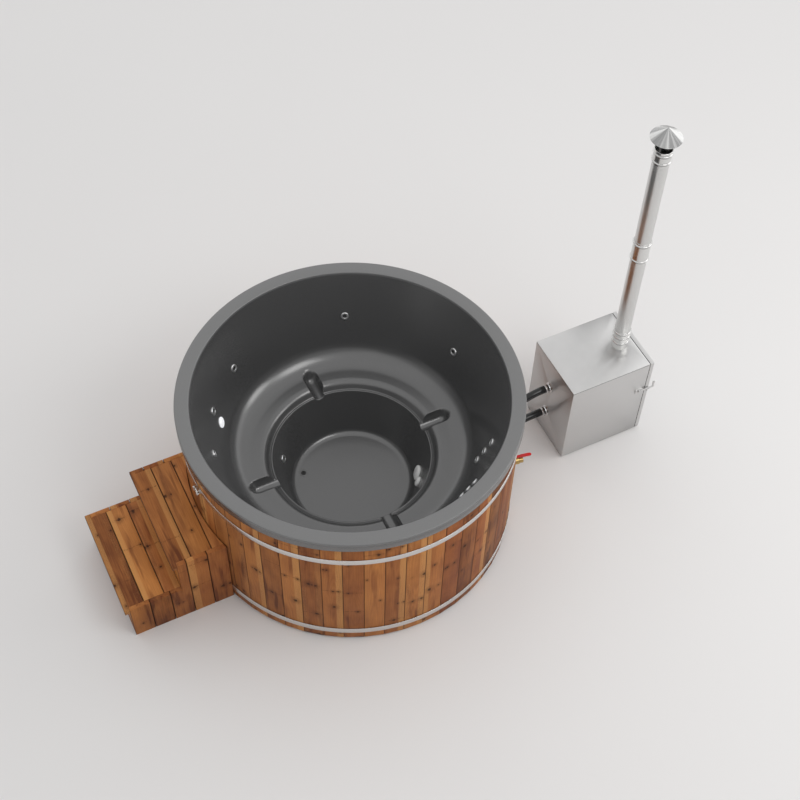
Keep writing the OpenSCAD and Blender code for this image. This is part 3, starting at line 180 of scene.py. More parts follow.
floor_paint = Paint("studio floor", roughness=0.75, specular_ior_level=0.2)
mottle = floor_paint.noise(floor_paint.place(), 0.35, 2.0)
floor_paint.set("base_color", floor_paint.mix(mottle, (0.765, 0.755, 0.750), (0.785, 0.775, 0.770)))
east, north, _ = floor_paint.split(floor_paint.place(), "ShaderNodeSeparateXYZ")
far_off = floor_paint.step((east * east + north * north) ** 0.5, 8.0, 20.0)
floor_paint.set("emission_color", floor_paint.mix(far_off, (0.0, 0.0, 0.0), (0.62, 0.615, 0.61)))
floor_paint.set("emission_strength", 1.0)
bpy.ops.mesh.primitive_plane_add(size=240.0)
floor = bpy.context.object
floor.name = "studio_floor"
floor.data.materials.append(floor_paint.material)

world = bpy.data.worlds.new("surround")
world.use_nodes = True
background = world.node_tree.nodes["Background"]
background.inputs["Color"].default_value = (0.98, 0.98, 1.0, 1.0)
surround = Nodes(world.node_tree)
shown = surround.node("ShaderNodeLightPath")
strength = surround.node("ShaderNodeMapRange", inputs={"Value": shown, "To Min": 0.06, "To Max": 0.72})
surround.tree.links.new(strength.socket, background.inputs["Strength"])
bpy.context.scene.world = world


def softbox(place, target, width, height, brightness, colour=(1.0, 1.0, 1.0)):
    bpy.ops.object.light_add(type="AREA", location=place)
    lamp = bpy.context.object
    lamp.rotation_euler = (Vector(place) - Vector(target)).to_track_quat("Z", "Y").to_euler()
    lamp.data.shape = "RECTANGLE"
    lamp.data.size = width
    lamp.data.size_y = height
    lamp.data.energy = brightness * math.pi * width * height
    lamp.data.color = colour


ceiling = 9.0
screen = 5.5
tub_middle = (0.0, 0.0, 0.6)
warm_white = (1.0, 0.99, 0.98)
softbox((0.0, -4.5, ceiling), (0.0, -4.5, 0.0), 24.0, 13.0, 0.84)
softbox((0.0, 8.0, ceiling), (0.0, 8.0, 0.0), 24.0, 12.0, 0.78)
softbox((-12.0, 2.0, screen), (0.0, 2.0, screen), 20.0, 7.0, 0.45)
softbox((12.0, 2.0, screen), (0.0, 2.0, screen), 20.0, 7.0, 1.25)
softbox((0.0, 14.0, screen), (0.0, 0.0, screen), 20.0, 7.0, 1.15)
softbox((-0.5, -11.0, screen), (-0.5, 0.0, screen), 24.0, 7.0, 0.42)
softbox((7.06, -3.29, 5.1), tub_middle, 3.6, 3.2, 2.5, warm_white)
softbox((2.89, -5.01, 7.49), tub_middle, 3.6, 3.2, 2.9, warm_white)

# ---------------------------------------------------------------- Wood
# Heat-treated pine, oiled: long grain with growth rings, darker heart wood in the middle of a
# board, dark knots, and every board in a tone of its own.


def wood_paint(name, pale, warm, dark, gloss, turn=None):
    """Pine whose grain runs along a board's own third axis, or along Z after the given turn."""
    paint = Paint(name, specular_ior_level=0.18)
    grain = paint.node("ShaderNodeAttribute", {"attribute_name": "grain"}, output=1)
    if turn:
        grain = paint.place(turn=turn)
    side = paint.node("ShaderNodeAttribute", {"attribute_name": "side"}, output=2)
    tone = paint.node("ShaderNodeAttribute", {"attribute_name": "tone"}, output=2)
    across, depth, along = paint.split(grain, "ShaderNodeSeparateXYZ")

    def luck(seed):
        drawn = paint.node("ShaderNodeTexWhiteNoise", {"noise_dimensions": "1D"}, {"W": seed}, output=1)
        return paint.split(drawn, "ShaderNodeSeparateColor")

    def drawn_out(share):
        """The grain's places, with marks stretched along the board."""
        return paint.node("ShaderNodeMapping", inputs={0: grain, 3: (1.0, 1.0, share)})

    # knots stand in rows across the board, where the tree had its whorls of branches
    rows = 3.6
    ragged = paint.noise(grain, 80.0, 3.0) - 0.5
    spot = along * rows + tone * 31.0
    row = spot.maths("FLOOR", spot)
    shift, streaked, flamed = luck(row + tone * 7.3)
    off = (spot - row - 0.5 - (shift - 0.5) * 0.6) / rows
    core, halo = 0.0, 0.0
    for number in range(3):
        place, wide, tall = luck(row * 1.7 + tone * 5.1 + 0.37 * number)
        size = 0.0050 + wide * wide * 0.0080
        beside = (across - (place - 0.5) * 0.112) / size
        above = (off + (tall - 0.5) * 0.014) / (size * 1.25)
        reach = (beside * beside + above * above) ** 0.5 + ragged * 1.7
        present = paint.step(tall, 0.56, 0.60)
        core = reach.maths("MAXIMUM", core, present * paint.step(reach, 1.25, 0.45))
        halo = reach.maths("MAXIMUM", halo, present * paint.step(reach, 4.2, 0.9))
    joining = off.maths("ABSOLUTE", off + ragged * 0.010)
    joined_up = paint.step(joining, 0.0075, 0.0015) * paint.step(streaked, 0.50, 0.55)
    joined_up = joined_up * paint.step(ragged, -0.10, 0.12)

    # growth rings round a heart that wanders below the board, and part round the knots
    drift = paint.noise(drawn_out(0.16), 9.0, 2.0) - 0.5
    lift = paint.noise(drawn_out(0.16), 5.0, 1.0)
    sideways = across + drift * 0.07 + halo * 0.010
    below = depth * 0.6 + (lift - 0.34) * 0.16
    ring = (sideways * sideways + below * below) ** 0.5
    lines = ring.maths("SINE", ring * 950.0 + drift * 9.0) * 0.5 + 0.5
    streak = paint.noise(drawn_out(0.03), 160.0, 3.0)
    band = paint.noise(drawn_out(0.10), 24.0, 2.0)
    cloud = paint.noise(drawn_out(0.45), 8.0, 3.0)
    # each board's own tone, with paler sapwood along one edge of some boards
    first, second, third = luck(tone * 91.0)
    sapwood = paint.step(side * (second * 2.0 - 1.0), 0.22, 0.30) * paint.step(first, 0.35, 0.38)
    shade = tone * 0.62 + cloud * 1.15 - 0.42 + (streak - 0.5) * 0.55 - paint.step(band, 0.54, 0.68) * 0.35
    base = paint.node("ShaderNodeValToRGB", {"stops": [(0.0, dark), (0.42, warm), (1.0, pale)]}, {0: shade})
    reddened = paint.mix(third * 0.45, base, [c * f for c, f in zip(warm, (1.10, 0.78, 0.85))])
    cream = [min(1.0, c * f) for c, f in zip(pale, (1.12, 1.35, 1.65))]
    creamed = paint.mix(sapwood * 0.55, reddened, cream)
    ringed = paint.mix(lines * 0.14, creamed, dark)
    shaded = paint.mix(halo * 0.42 + joined_up * 0.60, ringed, dark)
    knotted = paint.mix(core * 0.88, shaded, [c * 0.34 for c in dark])
    # the eased edges hold the dark of the joint
    seam = paint.step(side.maths("ABSOLUTE", side), 0.940, 0.992)
    paint.set("base_color", paint.mix(seam * 0.78, knotted, [c * 0.35 for c in dark]))
    paint.set("roughness", gloss + streak * 0.12 + core * 0.05)
    paint.bump(lines * 0.25 + streak * 0.6 - core * 0.9, 0.35, 0.0012)
    return paint.material


oiled_tones = ((0.62, 0.258, 0.070), (0.350, 0.132, 0.037), (0.110, 0.034, 0.011))
oiled_pine = wood_paint("oiled pine", *oiled_tones, 0.50)
chance = random.Random(7)


def grain_along(piece, across, depth, along):
    """Gives a board its own place in the wood: across, depth and along are axis numbers."""
    low, high = (Vector(f(v.co[i] for v in piece.data.vertices) for i in range(3)) for f in (min, max))
    middle = (low + high) / 2
    shift = chance.uniform(0, 90)
    for name, kind in (("grain", "FLOAT_VECTOR"), ("tone", "FLOAT"), ("side", "FLOAT")):
        piece.data.attributes.new(name, kind, "POINT")
    grain, tone, side = (piece.data.attributes[name] for name in ("grain", "tone", "side"))
    mark = chance.random()
    for vertex in piece.data.vertices:
        local = Vector((vertex.co[a] - middle[a] for a in (across, depth, along)))
        grain.data[vertex.index].vector = local + Vector((0.0, 0.0, shift))
        tone.data[vertex.index].value = mark
        side.data[vertex.index].value = 2 * local.x / (high[across] - low[across])


def select_only(*pieces):
    bpy.ops.object.select_all(action="DESELECT")
    for piece in pieces:
        piece.select_set(True)
    bpy.context.view_layer.objects.active = pieces[0]


def apply_modifiers(piece):
    select_only(piece)
    for modifier in list(piece.modifiers):
        bpy.ops.object.modifier_apply(modifier=modifier.name)


def block(low, high, edge):
    """A planed block between two corners, its edges eased."""
    middle = (Vector(low) + Vector(high)) / 2
    bpy.ops.object.select_all(action="DESELECT")
    bpy.ops.mesh.primitive_cube_add(size=1.0, location=middle)
    piece = bpy.context.object
    piece.scale = Vector(high) - Vector(low)
    bpy.ops.object.transform_apply(location=True, rotation=True, scale=True)
    easing = piece.modifiers.new("easing", "BEVEL")
    easing.width = edge
    easing.segments = 2
    apply_modifiers(piece)
    return piece


def joined(name, pieces, material, body, *nodes, smooth=30, slot=None):
    """Joins pieces under one name, gives them a finish and puts them on a body."""
    select_only(*pieces)
    if len(pieces) > 1:
        bpy.ops.object.join()
    piece = bpy.context.view_layer.objects.active
    piece.name = name
    piece.data.name = name
    piece.data.materials.clear()
    piece.data.materials.append(material)
    bpy.ops.object.shade_smooth_by_angle(angle=math.radians(smooth))
    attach(piece, body)
    if nodes:
        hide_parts(*nodes)
    return piece


# ---------------------------------------------------------------- Staves
# Upright pine staves with eased outer edges, standing side by side in a ring. They are held
# only by the two hoops, and the liner's rim covers their upper ends.
stave_count = 52
stave_outer = 0.983
stave_thick = 0.028
stave_gap = 0.0008
stave_edge = 0.0022
stave_uneven = 0.0006
stave_low, stave_high = (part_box("staves")[i].z for i in (0, 1))
stave_turn = 2 * math.pi / stave_count
stave_face = stave_outer * math.cos(stave_turn / 2)
stave_width = 2 * stave_outer * math.sin(stave_turn / 2) - stave_gap

staves = []
for number in range(stave_count):
    stave = block(
        (stave_face - stave_thick, -stave_width / 2, stave_low),
        (stave_face - chance.uniform(0.0, stave_uneven), stave_width / 2, stave_high),
        stave_edge,
    )
    grain_along(stave, 1, 0, 2)
    for vertex in stave.data.vertices:
        vertex.co.y *= 1 - 0.9 * (stave_face - vertex.co.x)
    stave.data.transform(Matrix.Rotation((number + 0.5) * stave_turn, 4, "Z"))
    staves.append(stave)
joined("stave_wall", staves, oiled_pine, "tub", "staves", slot="stained_wood")


# ---------------------------------------------------------------- Hoops
# Two flat stainless bands round the staves. Each ends at a pair of lugs that a screw with two
# nuts pulls together.


def arc(centre, radius, start, end, count=6):
    angles = [math.radians(start + (end - start) * i / count) for i in range(count + 1)]
    return [(centre[0] + radius * math.cos(a), centre[1] + radius * math.sin(a)) for a in angles]


def turned(outline, steps=96, place=Matrix.Identity(4), angle=2 * math.pi, marks=0):
    """Turns a closed outline of (radius, height) points about the Z axis, then places it."""
    bpy.ops.object.select_all(action="DESELECT")
    bpy.ops.mesh.primitive_circle_add(vertices=len(outline))
    piece = bpy.context.object
    for vertex, (radius, height) in zip(piece.data.vertices, outline):
        vertex.co = (radius, 0.0, height)
    if marks:
        front = piece.data.attributes.new("front", "FLOAT", "POINT")
        for number, mark in enumerate(front.data):
            mark.value = float(number < marks)
    bpy.ops.object.mode_set(mode="EDIT")
    bpy.ops.mesh.select_all(action="SELECT")
    bpy.ops.mesh.spin(steps=steps, angle=angle, center=(0, 0, 0), axis=(0, 0, 1))
    bpy.ops.mesh.select_all(action="SELECT")
    bpy.ops.mesh.remove_doubles(threshold=0.00002)
    bpy.ops.mesh.dissolve_degenerate(threshold=0.00002)
    bpy.ops.mesh.delete_loose()
    bpy.ops.mesh.select_all(action="SELECT")
    if angle < 2 * math.pi:
        bpy.ops.mesh.fill_holes(sides=0)
    bpy.ops.mesh.normals_make_consistent(inside=False)
    bpy.ops.object.mode_set(mode="OBJECT")
    piece.data.transform(place)
    return piece


def rounded_section(r0, r1, z0, z1, edge):
    """A rectangular section with rounded corners, from radius r0 to r1."""
    return (
        arc((r1 - edge, z0 + edge), edge, -90, 0, 3)
        + arc((r1 - edge, z1 - edge), edge, 0, 90, 3)
        + arc((r0 + edge, z1 - edge), edge, 90, 180, 3)
        + arc((r0 + edge, z0 + edge), edge, 180, 270, 3)
    )


def steel_paint(name, colour, rough, lines, relief, creases=()):
    """Stainless steel with fine drawn lines, and painted shade darkening level creases at the given
    heights.
    """
    paint = Paint(name, metallic=1.0)
    brush = paint.noise(paint.place(lines), 1.0, 3.0, 0.6)
    smear = paint.noise(paint.place(), 3.0, 2.0)
    shift = (smear - 0.5) * 0.10 + (brush - 0.5) * 0.10
    pale = [min(1.0, c * 1.06) for c in colour]
    deep = [c * 0.90 for c in colour]
    bare = paint.mix(brush * 0.6 + smear * 0.4, deep, pale)
    if creases:
        height = paint.split(paint.place(), "ShaderNodeSeparateXYZ")[2]
        # painted shade: a dark band at each crease height, where shade falls under a rib
        crease_shade = 0.0
        for crease in creases:
            near = height.maths("ABSOLUTE", height - crease)
            crease_shade = near.maths("MAXIMUM", crease_shade, paint.step(near, 0.0060, 0.0020))
        bare = paint.mix(crease_shade * 0.80, bare, [c * 0.16 for c in colour])
    paint.set("base_color", bare)
    paint.set("roughness", rough + shift)
    paint.bump(brush, relief, 0.0004)
    return paint.material


hoop_inner = 0.9833
hoop_outer = 0.987
hoop_break = 0.024
hoop_edge = 0.0014
band_steel = steel_paint("rolled band steel", (0.70, 0.68, 0.66), 0.26, (30.0, 30.0, 900.0), 0.10)
for name, turn_degrees in (("hoop_upper", 186.0), ("hoop_lower", 140.0)):
    low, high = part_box(name)
    half = math.asin(hoop_break / 2 / hoop_outer)
    band = turned(
        rounded_section(hoop_inner, hoop_outer, low.z, high.z, hoop_edge),
        steps=360,
        place=Matrix.Rotation(math.radians(turn_degrees) - half, 4, "Z"),
        angle=2 * math.pi - 2 * half,
    )
    joined(name + "_band", [band], band_steel, "tub", name, slot="band_steel")


def softened(node, material, body, edge=0.0008, smooth=35, steps=2, slot=None):
    """A clean copy of a plain piece, with its flat faces merged and its edges rounded."""
    piece = cad[node].copy()
    piece.data = cad[node].data.copy()
    piece.parent = None
    for key in list(piece.keys()):
        del piece[key]
    bpy.context.scene.collection.objects.link(piece)
    select_only(piece)
    bpy.ops.object.mode_set(mode="EDIT")
    bpy.ops.mesh.select_all(action="SELECT")
    bpy.ops.mesh.remove_doubles(threshold=0.00001)
    bpy.ops.mesh.dissolve_limited(angle_limit=math.radians(0.5))
    bpy.ops.object.mode_set(mode="OBJECT")
    easing = piece.modifiers.new("easing", "BEVEL")
    easing.width = edge
    easing.segments = steps
    easing.limit_method = "ANGLE"
    easing.angle_limit = math.radians(40)
    apply_modifiers(piece)
    return joined(node + "_piece", [piece], material, body, node, smooth=smooth, slot=slot)


polished_steel = steel_paint("polished steel", (0.72, 0.72, 0.72), 0.16, (300.0, 300.0, 300.0), 0.04)
softened("hoop_lugs", band_steel, "tub", 0.0012, slot="band_steel")
softened("hoop_screws", polished_steel, "tub", 0.0008, slot="bright_steel")

# ---------------------------------------------------------------- Liner
# One vacuum-formed shell of grey acrylic: rim and skirt, leaning wall, ring bench that rolls
# down to a beaded lip, footwell, and four foot channels pressed across the bench.
wall = 0.008
lean_degrees = 20.0
lean = math.tan(math.radians(lean_degrees))
lean_cos = math.cos(math.radians(lean_degrees))
rim_top = 1.098
rim_outer = 1.0
rim_inner = 0.917
skirt_low = 1.033
rim_edge = 0.007
bench_top = 0.528
bench_roll = 0.050
bench_slope = math.radians(52.0)
cove = 0.160
well_lip, lip_level = 0.479, 0.494
bead_top, bead = 0.488, 0.006
valley = (0.4900, 0.4830)
well_floor = 0.190
well_cove = 0.045
knee_level = 0.440
channel_half = 0.038
channel_level = 0.505
channel_end = 0.600
channel_edge = 0.007
channel_verge, verge_depth, verge_slope = 0.95, 0.3122, 3.0
channel_count = 4


def wall_radius(height, grow=0.0):
    return rim_inner + grow / lean_cos - (rim_top - height) * lean


def well_radius(height, grow=0.0):
    return well_lip + grow / lean_cos - (lip_level - height) * lean


cove_centre = (wall_radius(bench_top + cove) - cove / lean_cos, bench_top + cove)
bead_centre = (well_radius(bead_top - bead) + bead / lean_cos, bead_top - bead)
slope_rise = bench_top - bench_roll * (1 - math.cos(bench_slope)) - valley[1]
roll_centre = (
    valley[0] + slope_rise / math.tan(bench_slope) + bench_roll * math.sin(bench_slope),
    bench_top - bench_roll,
)
well_centre = (well_radius(well_floor + well_cove) - well_cove / lean_cos, well_floor + well_cove)


def between(first, last, count):
    """Points between two places, without the places themselves."""
    return [
        (first[0] + (last[0] - first[0]) * i / count, first[1] + (last[1] - first[1]) * i / count)
        for i in range(1, count)
    ]


def bowl(grow, fine):
    """The bowl's outline from the middle of the footwell's floor to the wall's foot."""
    floor_line = [(0.0, well_floor - grow)]
    well_arc = arc(well_centre, well_cove + grow, -90, -lean_degrees, 9 if fine else 4)
    roll_arc = arc(roll_centre, bench_roll - grow, 90 + math.degrees(bench_slope), 90, 10 if fine else 4)
    cove_arc = arc(cove_centre, cove + grow, -90, -lean_degrees, 16 if fine else 6)
    knee = (well_radius(knee_level, grow), knee_level)
    if not fine:
        under_valley = (valley[0] + grow * 0.6, valley[1] - grow * 1.2)
        return floor_line + well_arc + [knee, under_valley] + roll_arc + cove_arc
    bead_arc = arc(bead_centre, bead, 180 - lean_degrees, 40, 8)
    slope_foot = (valley[0] + 0.0025, valley[1] + 0.0013)
    return (
        floor_line
        + between(floor_line[0], well_arc[0], 3)
        + well_arc
        + between(well_arc[-1], knee, 4)
        + [knee]
        + between(knee, bead_arc[0], 9)
        + bead_arc
        + [valley, slope_foot]
        + between(slope_foot, roll_arc[0], 5)
        + roll_arc
        + between(roll_arc[-1], cove_arc[0], 16)
        + cove_arc
    )


inner_outline = (
    bowl(0.0, True)
    + between(bowl(0.0, True)[-1], (wall_radius(rim_top - rim_edge), rim_top - rim_edge), 6)
    + arc(
        (wall_radius(rim_top - rim_edge) + rim_edge / lean_cos, rim_top - rim_edge),
        rim_edge, 180 - lean_degrees, 90, 5,
    )
    + arc((rim_outer - rim_edge, rim_top - rim_edge), rim_edge, 90, 0, 5)
    + arc((rim_outer - 0.002, skirt_low + 0.002), 0.002, 0, -90, 2)
)
outer_outline = [
    (rim_outer - wall, skirt_low),
    (rim_outer - wall, rim_top - wall),
    (wall_radius(rim_top - wall, wall), rim_top - wall),
] + bowl(wall, False)[::-1]
liner_steps = 720
liner = turned(inner_outline + outer_outline, steps=liner_steps, marks=len(inner_outline))


def soft_lower(first, second, blend):
    """The lower of two heights, with the crease between them rounded."""
    share = max(0.0, min(1.0, 0.5 + (second - first) / (2 * blend)))
    return second + (first - second) * share - blend * share * (1 - share)


def channel_height(out, side, half):
    """The height of a foot channel's hollow, that far out along it and to its side."""
    off = math.hypot(side, max(0.0, out - channel_end)) / half
    if off < channel_verge:
        return channel_level - half * math.sqrt(1 - off * off)
    return channel_level - half * (verge_depth - (off - channel_verge) * verge_slope)


# The turned rings are drawn together towards the channels, where the surface bends most.
fine_rings = 43
fine_turn = math.radians(0.15)
ring_turn = 2 * math.pi / liner_steps
quarter = 2 * math.pi / channel_count
wide_turn = (quarter / 2 - fine_rings * fine_turn) / (liner_steps / channel_count / 2 - fine_rings)
for vertex, mark in zip(liner.data.vertices, liner.data.attributes["front"].data):
    radius = math.hypot(vertex.co.x, vertex.co.y)
    if radius < 0.01:
        continue
    angle = math.atan2(vertex.co.y, vertex.co.x)
    nearest = round(angle / quarter) * quarter
    rings = abs(angle - nearest) / ring_turn
    turn = min(rings, fine_rings) * fine_turn + max(0.0, rings - fine_rings) * wide_turn
    turn = math.copysign(turn, angle - nearest)
    vertex.co.x, vertex.co.y = radius * math.cos(nearest + turn), radius * math.sin(nearest + turn)
    out, side = radius * math.cos(turn), radius * math.sin(turn)
    front = mark.value > 0.5
    near_channel = 0.44 < radius < 0.66 and vertex.co.z < 0.55 and abs(side) < 0.08
    if near_channel:
        if front:
            hollow = soft_lower(vertex.co.z, channel_height(out, side, channel_half), channel_edge)
            vertex.co.z = min(vertex.co.z, hollow)
        else:
            vertex.co.z = min(vertex.co.z, channel_height(out, side, channel_half + wall) - 0.001)

acrylic = Paint("grey acrylic", ior=2.05)
fleck = acrylic.step(acrylic.noise(acrylic.place(), 420.0, 2.0), 0.35, 0.75)
height = acrylic.split(acrylic.place(), "ShaderNodeSeparateXYZ")[2]
# painted light: the rim top gets a lighter grey than the inside of the same acrylic, as if lit from above;
# it is also made a little rougher
on_rim = acrylic.step(height, 1.080, 1.095)
inside_grey = acrylic.mix(fleck, (0.050, 0.050, 0.0505), (0.064, 0.064, 0.0645))
rim_painted_light_grey = acrylic.mix(fleck, (0.105, 0.1055, 0.106), (0.125, 0.1255, 0.126))
acrylic.set("base_color", acrylic.mix(on_rim, inside_grey, rim_painted_light_grey))
acrylic.set("roughness", 0.24 + on_rim * 0.12)
acrylic.bump(acrylic.noise(acrylic.place(), 45.0, 2.0), 0.03, 0.0010)
joined("liner_shell", [liner], acrylic.material, "tub", "liner", smooth=50, slot="liner_plastic")


# ---------------------------------------------------------------- Jets and lamp
# Polished bezels screwed on to jet bodies through the wall, each with an eyeball nozzle, and
# one white lamp. All of them sit square to the leaning wall.
def on_wall(direction, height, well=False):
    radius = well_radius(height) if well else wall_radius(height)
    return (
        Matrix.Rotation(math.radians(direction), 4, "Z")
        @ Matrix.Translation((radius, 0.0, height))
        @ Matrix.Rotation(math.radians(lean_degrees - 90.0), 4, "Y")
    )


jet_level, jet_directions = 0.812, (15.3, 67.9, 125.1, 148.8, 170.3)
column_levels, column_directions = (0.850, 0.750, 0.650), (-37.0, -57.5)
well_jet_level, well_jet_direction = 0.345, 146.0
bezel_radius = 0.025
seat_gap = 0.0003


def seat(radius, wall_round):
    """Lifts a flat-backed piece until its edge clears the wall, whose own radius is given."""
    return Matrix.Translation((0, 0, radius**2 / (2 * wall_round) + seat_gap))


jet_places = [on_wall(angle, jet_level) for angle in jet_directions]
jet_places += [on_wall(angle, height) for angle in column_directions for height in column_levels]
seats = [seat(bezel_radius, wall_radius(column_levels[-1]))] * len(jet_places)
jet_places.append(on_wall(well_jet_direction, well_jet_level, True))
seats.append(seat(bezel_radius, well_radius(well_jet_level)))

bezel_outline = (
    [(0.0129, 0.0)]
    + arc((0.0148, 0.0030), 0.0019, 180, 90, 3)
    + arc((0.0205, 0.0008), 0.0044, 80, 5, 6)
    + [(bezel_radius, 0.0)]
)
nozzle_outline = (
    [(0.0119, -0.006)]
    + arc((0.0107, 0.0014), 0.0012, 0, 120, 4)
    + [(0.0085, -0.0006), (0.0070, -0.0012)]
    + arc((0.0056, 0.0010), 0.0010, 20, 170, 4)
    + [(0.0044, -0.006)]
)
bezel = turned(bezel_outline, 48)
nozzle = turned(nozzle_outline, 32)


def set_out(pattern, places, name, *finish, **more):
    """Copies one piece to each place and joins the copies."""
    copies = []
    for place in places:
        one = pattern.copy()
        one.data = pattern.data.copy()
        bpy.context.scene.collection.objects.link(one)
        one.data.transform(place)
        copies.append(one)
    bpy.data.objects.remove(pattern)
    return joined(name, copies, *finish, **more)


seated = [place @ lift for place, lift in zip(jet_places, seats)]
satin_chrome = steel_paint("satin chrome", (0.86, 0.86, 0.86), 0.30, (200.0, 200.0, 200.0), 0.04)
set_out(bezel, seated, "jet_rings", satin_chrome, "tub", "jet_bezels", smooth=60, slot="bright_steel")

white_plastic = Paint("white moulded plastic", roughness=0.25)
cream = white_plastic.noise(white_plastic.place(), 30.0, 2.0)
white_plastic.set("base_color", white_plastic.mix(cream, (0.80, 0.80, 0.79), (0.90, 0.90, 0.89)))
white_plastic.bump(white_plastic.noise(white_plastic.place(), 400.0, 2.0), 0.05, 0.0003)
white_plastic = white_plastic.material
dark_trim = Paint("dark trim plastic", roughness=0.38)
grit = dark_trim.noise(dark_trim.place(), 250.0, 2.0)
dark_trim.set("base_color", dark_trim.mix(grit, (0.010, 0.010, 0.010), (0.022, 0.022, 0.022)))
dark_trim.bump(grit, 0.08, 0.0004)
dark_trim = dark_trim.material
set_out(nozzle, seated, "jet_nozzles", dark_trim, "tub", smooth=60, slot="black_plastic")

lens_glow = Paint("lit white lens", roughness=0.18, emission_strength=0.35)
ripple = lens_glow.noise(lens_glow.place(), 60.0, 2.0)
lens_glow.set("base_color", lens_glow.mix(ripple, (0.88, 0.89, 0.90), (0.95, 0.95, 0.95)))
lens_glow.set("emission_color", lens_glow.mix(ripple, (0.85, 0.90, 1.0), (1.0, 1.0, 1.0)))
lens_radius, lens_level, lens_direction = 0.033, 0.707, 149.0
lens_outline = (
    [(0.0, -0.030), (0.0124, -0.030), (0.0124, 0.0)]
    + [(lens_radius, 0.0)]
    + arc((0.0315, 0.0025), 0.0015, 0, 100, 4)
    + [(0.0290, 0.0036)]
    + arc((0.0, -0.0500), 0.0595, 62, 90, 8)
)
lens = turned(lens_outline, 64)
lens_seat = seat(lens_radius, wall_radius(lens_level - 2 * lens_radius))
lens.data.transform(on_wall(lens_direction, lens_level) @ lens_seat)
joined("lamp_lens", [lens], lens_glow.material, "tub", "lamp", smooth=50, slot="white_plastic")

# ---------------------------------------------------------------- Covers and drain
# White suction covers with a ring of holes over the two water pipes, and the drain in the
# footwell floor, a grey flange round a grid of rings in black, painted shade for the drain hole.
softened("water_covers", white_plastic, "tub", 0.0010, slot="white_plastic")
drain_place = Matrix.Translation((-0.24791, 0.18277, 0.0))
flange_outline = (
    [(0.0152, 0.176), (0.0180, 0.176), (0.0180, 0.1899), (0.0240, 0.1899)]
    + arc((0.0228, 0.1908), 0.0012, -20, 90, 4)
    + arc((0.0165, 0.1907), 0.0013, 90, 180, 4)
)
grid_outline = [(0.0, 0.1902), (0.0150, 0.1902), (0.0150, 0.1914), (0.0138, 0.1918)]
for radius in (0.0110, 0.0070, 0.0030):
    grid_outline += [(radius + 0.0016, 0.1918), (radius + 0.0012, 0.1906)]
    grid_outline += [(radius - 0.0006, 0.1906), (radius - 0.0010, 0.1918)]
grid_outline += [(0.0, 0.1918)]
flange = turned(flange_outline, 64, drain_place)
grid = turned(grid_outline, 48, drain_place)
# painted shade: the grid is finished black to stand for the dark of the drain hole
joined("drain_shade_grid", [grid], dark_trim, "tub", smooth=30, slot="black_plastic")
joined("drain_flange", [flange], acrylic.material, "tub", "drain_strainer", smooth=45, slot="liner_plastic")

# ---------------------------------------------------------------- Drain valve
# A brass ball valve outside the staves, on the end of a black pipe, with a red coated lever
# that turns a quarter about the valve's stem.
brass = Paint("turned brass", metallic=1.0)
tarnish = brass.noise(brass.place(), 60.0, 3.0)
brass.set("base_color", brass.mix(tarnish, (0.45, 0.30, 0.11), (0.66, 0.47, 0.20)))
brass.set("roughness", 0.26 + tarnish * 0.15)
brass.bump(tarnish, 0.10, 0.0005)
softened("valve_body", brass.material, "tub", 0.0010, slot="brass")

lever_red = Paint("red coated lever", roughness=0.35)
dip = lever_red.noise(lever_red.place(), 70.0, 2.0)
lever_red.set("base_color", lever_red.mix(dip, (0.56, 0.010, 0.012), (0.72, 0.022, 0.022)))
lever_red.bump(dip, 0.10, 0.0006)
softened("valve_lever", lever_red.material, "drain_valve", 0.0014, slot="red_metal")

black_plastic = Paint("black moulded plastic", roughness=0.42)
grain_noise = black_plastic.noise(black_plastic.place(), 300.0, 2.0)
soft_black = black_plastic.mix(grain_noise, (0.012, 0.012, 0.012), (0.026, 0.026, 0.026))
black_plastic.set("base_color", soft_black)
black_plastic.bump(grain_noise, 0.10, 0.0004)
black_plastic = black_plastic.material


def finish_node(material, *nodes):
    """Gives CAD pieces whose shape is right their finish."""
    for node in nodes:
        cad[node].data.materials.clear()
        cad[node].data.materials.append(material)


finish_node(black_plastic, "drain_pipe", "jet_bodies", "air_pipe", "air_blower", "inner_pipes")

# ---------------------------------------------------------------- Hoses
# Two smooth black hoses, pushed on to steel spigots at both ends and held by worm-drive
# clamps. They are stiff and short, and stay as they are.
hose_y = -0.057
hose_start, hose_finish = 0.998, 1.332
hose_grip = 0.048
hose_radius = 0.024
hose_steps = 40
hose_black = Paint("black hose rubber", specular_ior_level=0.55)
bloom = hose_black.noise(hose_black.place(), 40.0, 3.0)
hose_black.set("base_color", hose_black.mix(bloom, (0.003, 0.003, 0.003), (0.008, 0.008, 0.008)))
hose_black.set("roughness", 0.08 + bloom * 0.08)
hose_black.bump(hose_black.noise(hose_black.place((1, 8, 8)), 30.0, 2.0), 0.08, 0.0006)
hose_levels = {"hose_upper": (0.415, 0.462), "hose_lower": (0.206, 0.221)}
for name, (tub_level, heater_level) in hose_levels.items():
    route = []
    for i in range(hose_steps + 1):
        x = hose_start + (hose_finish - hose_start) * i / hose_steps
        share = (x - hose_start - hose_grip) / (hose_finish - hose_start - 2 * hose_grip)
        share = max(0.0, min(1.0, share))
        rise = (heater_level - tub_level) * share * share * (3 - 2 * share)
        route.append((x, hose_y, tub_level + rise))
    line = bpy.data.curves.new(name + "_line", "CURVE")
    line.dimensions = "3D"
    spline = line.splines.new("POLY")
    spline.points.add(len(route) - 1)
    for point, place in zip(spline.points, route):
        point.co = (*place, 1.0)
    line.bevel_depth = hose_radius
    line.bevel_resolution = 10
    line.use_fill_caps = True
    hose = bpy.data.objects.new(name + "_tube", line)
    bpy.context.scene.collection.objects.link(hose)
    select_only(hose)
    bpy.ops.object.convert(target="MESH")
    hose = bpy.context.object
    joined(name + "_tube", [hose], hose_black.material, "tub", name, smooth=50, slot="black_rubber")

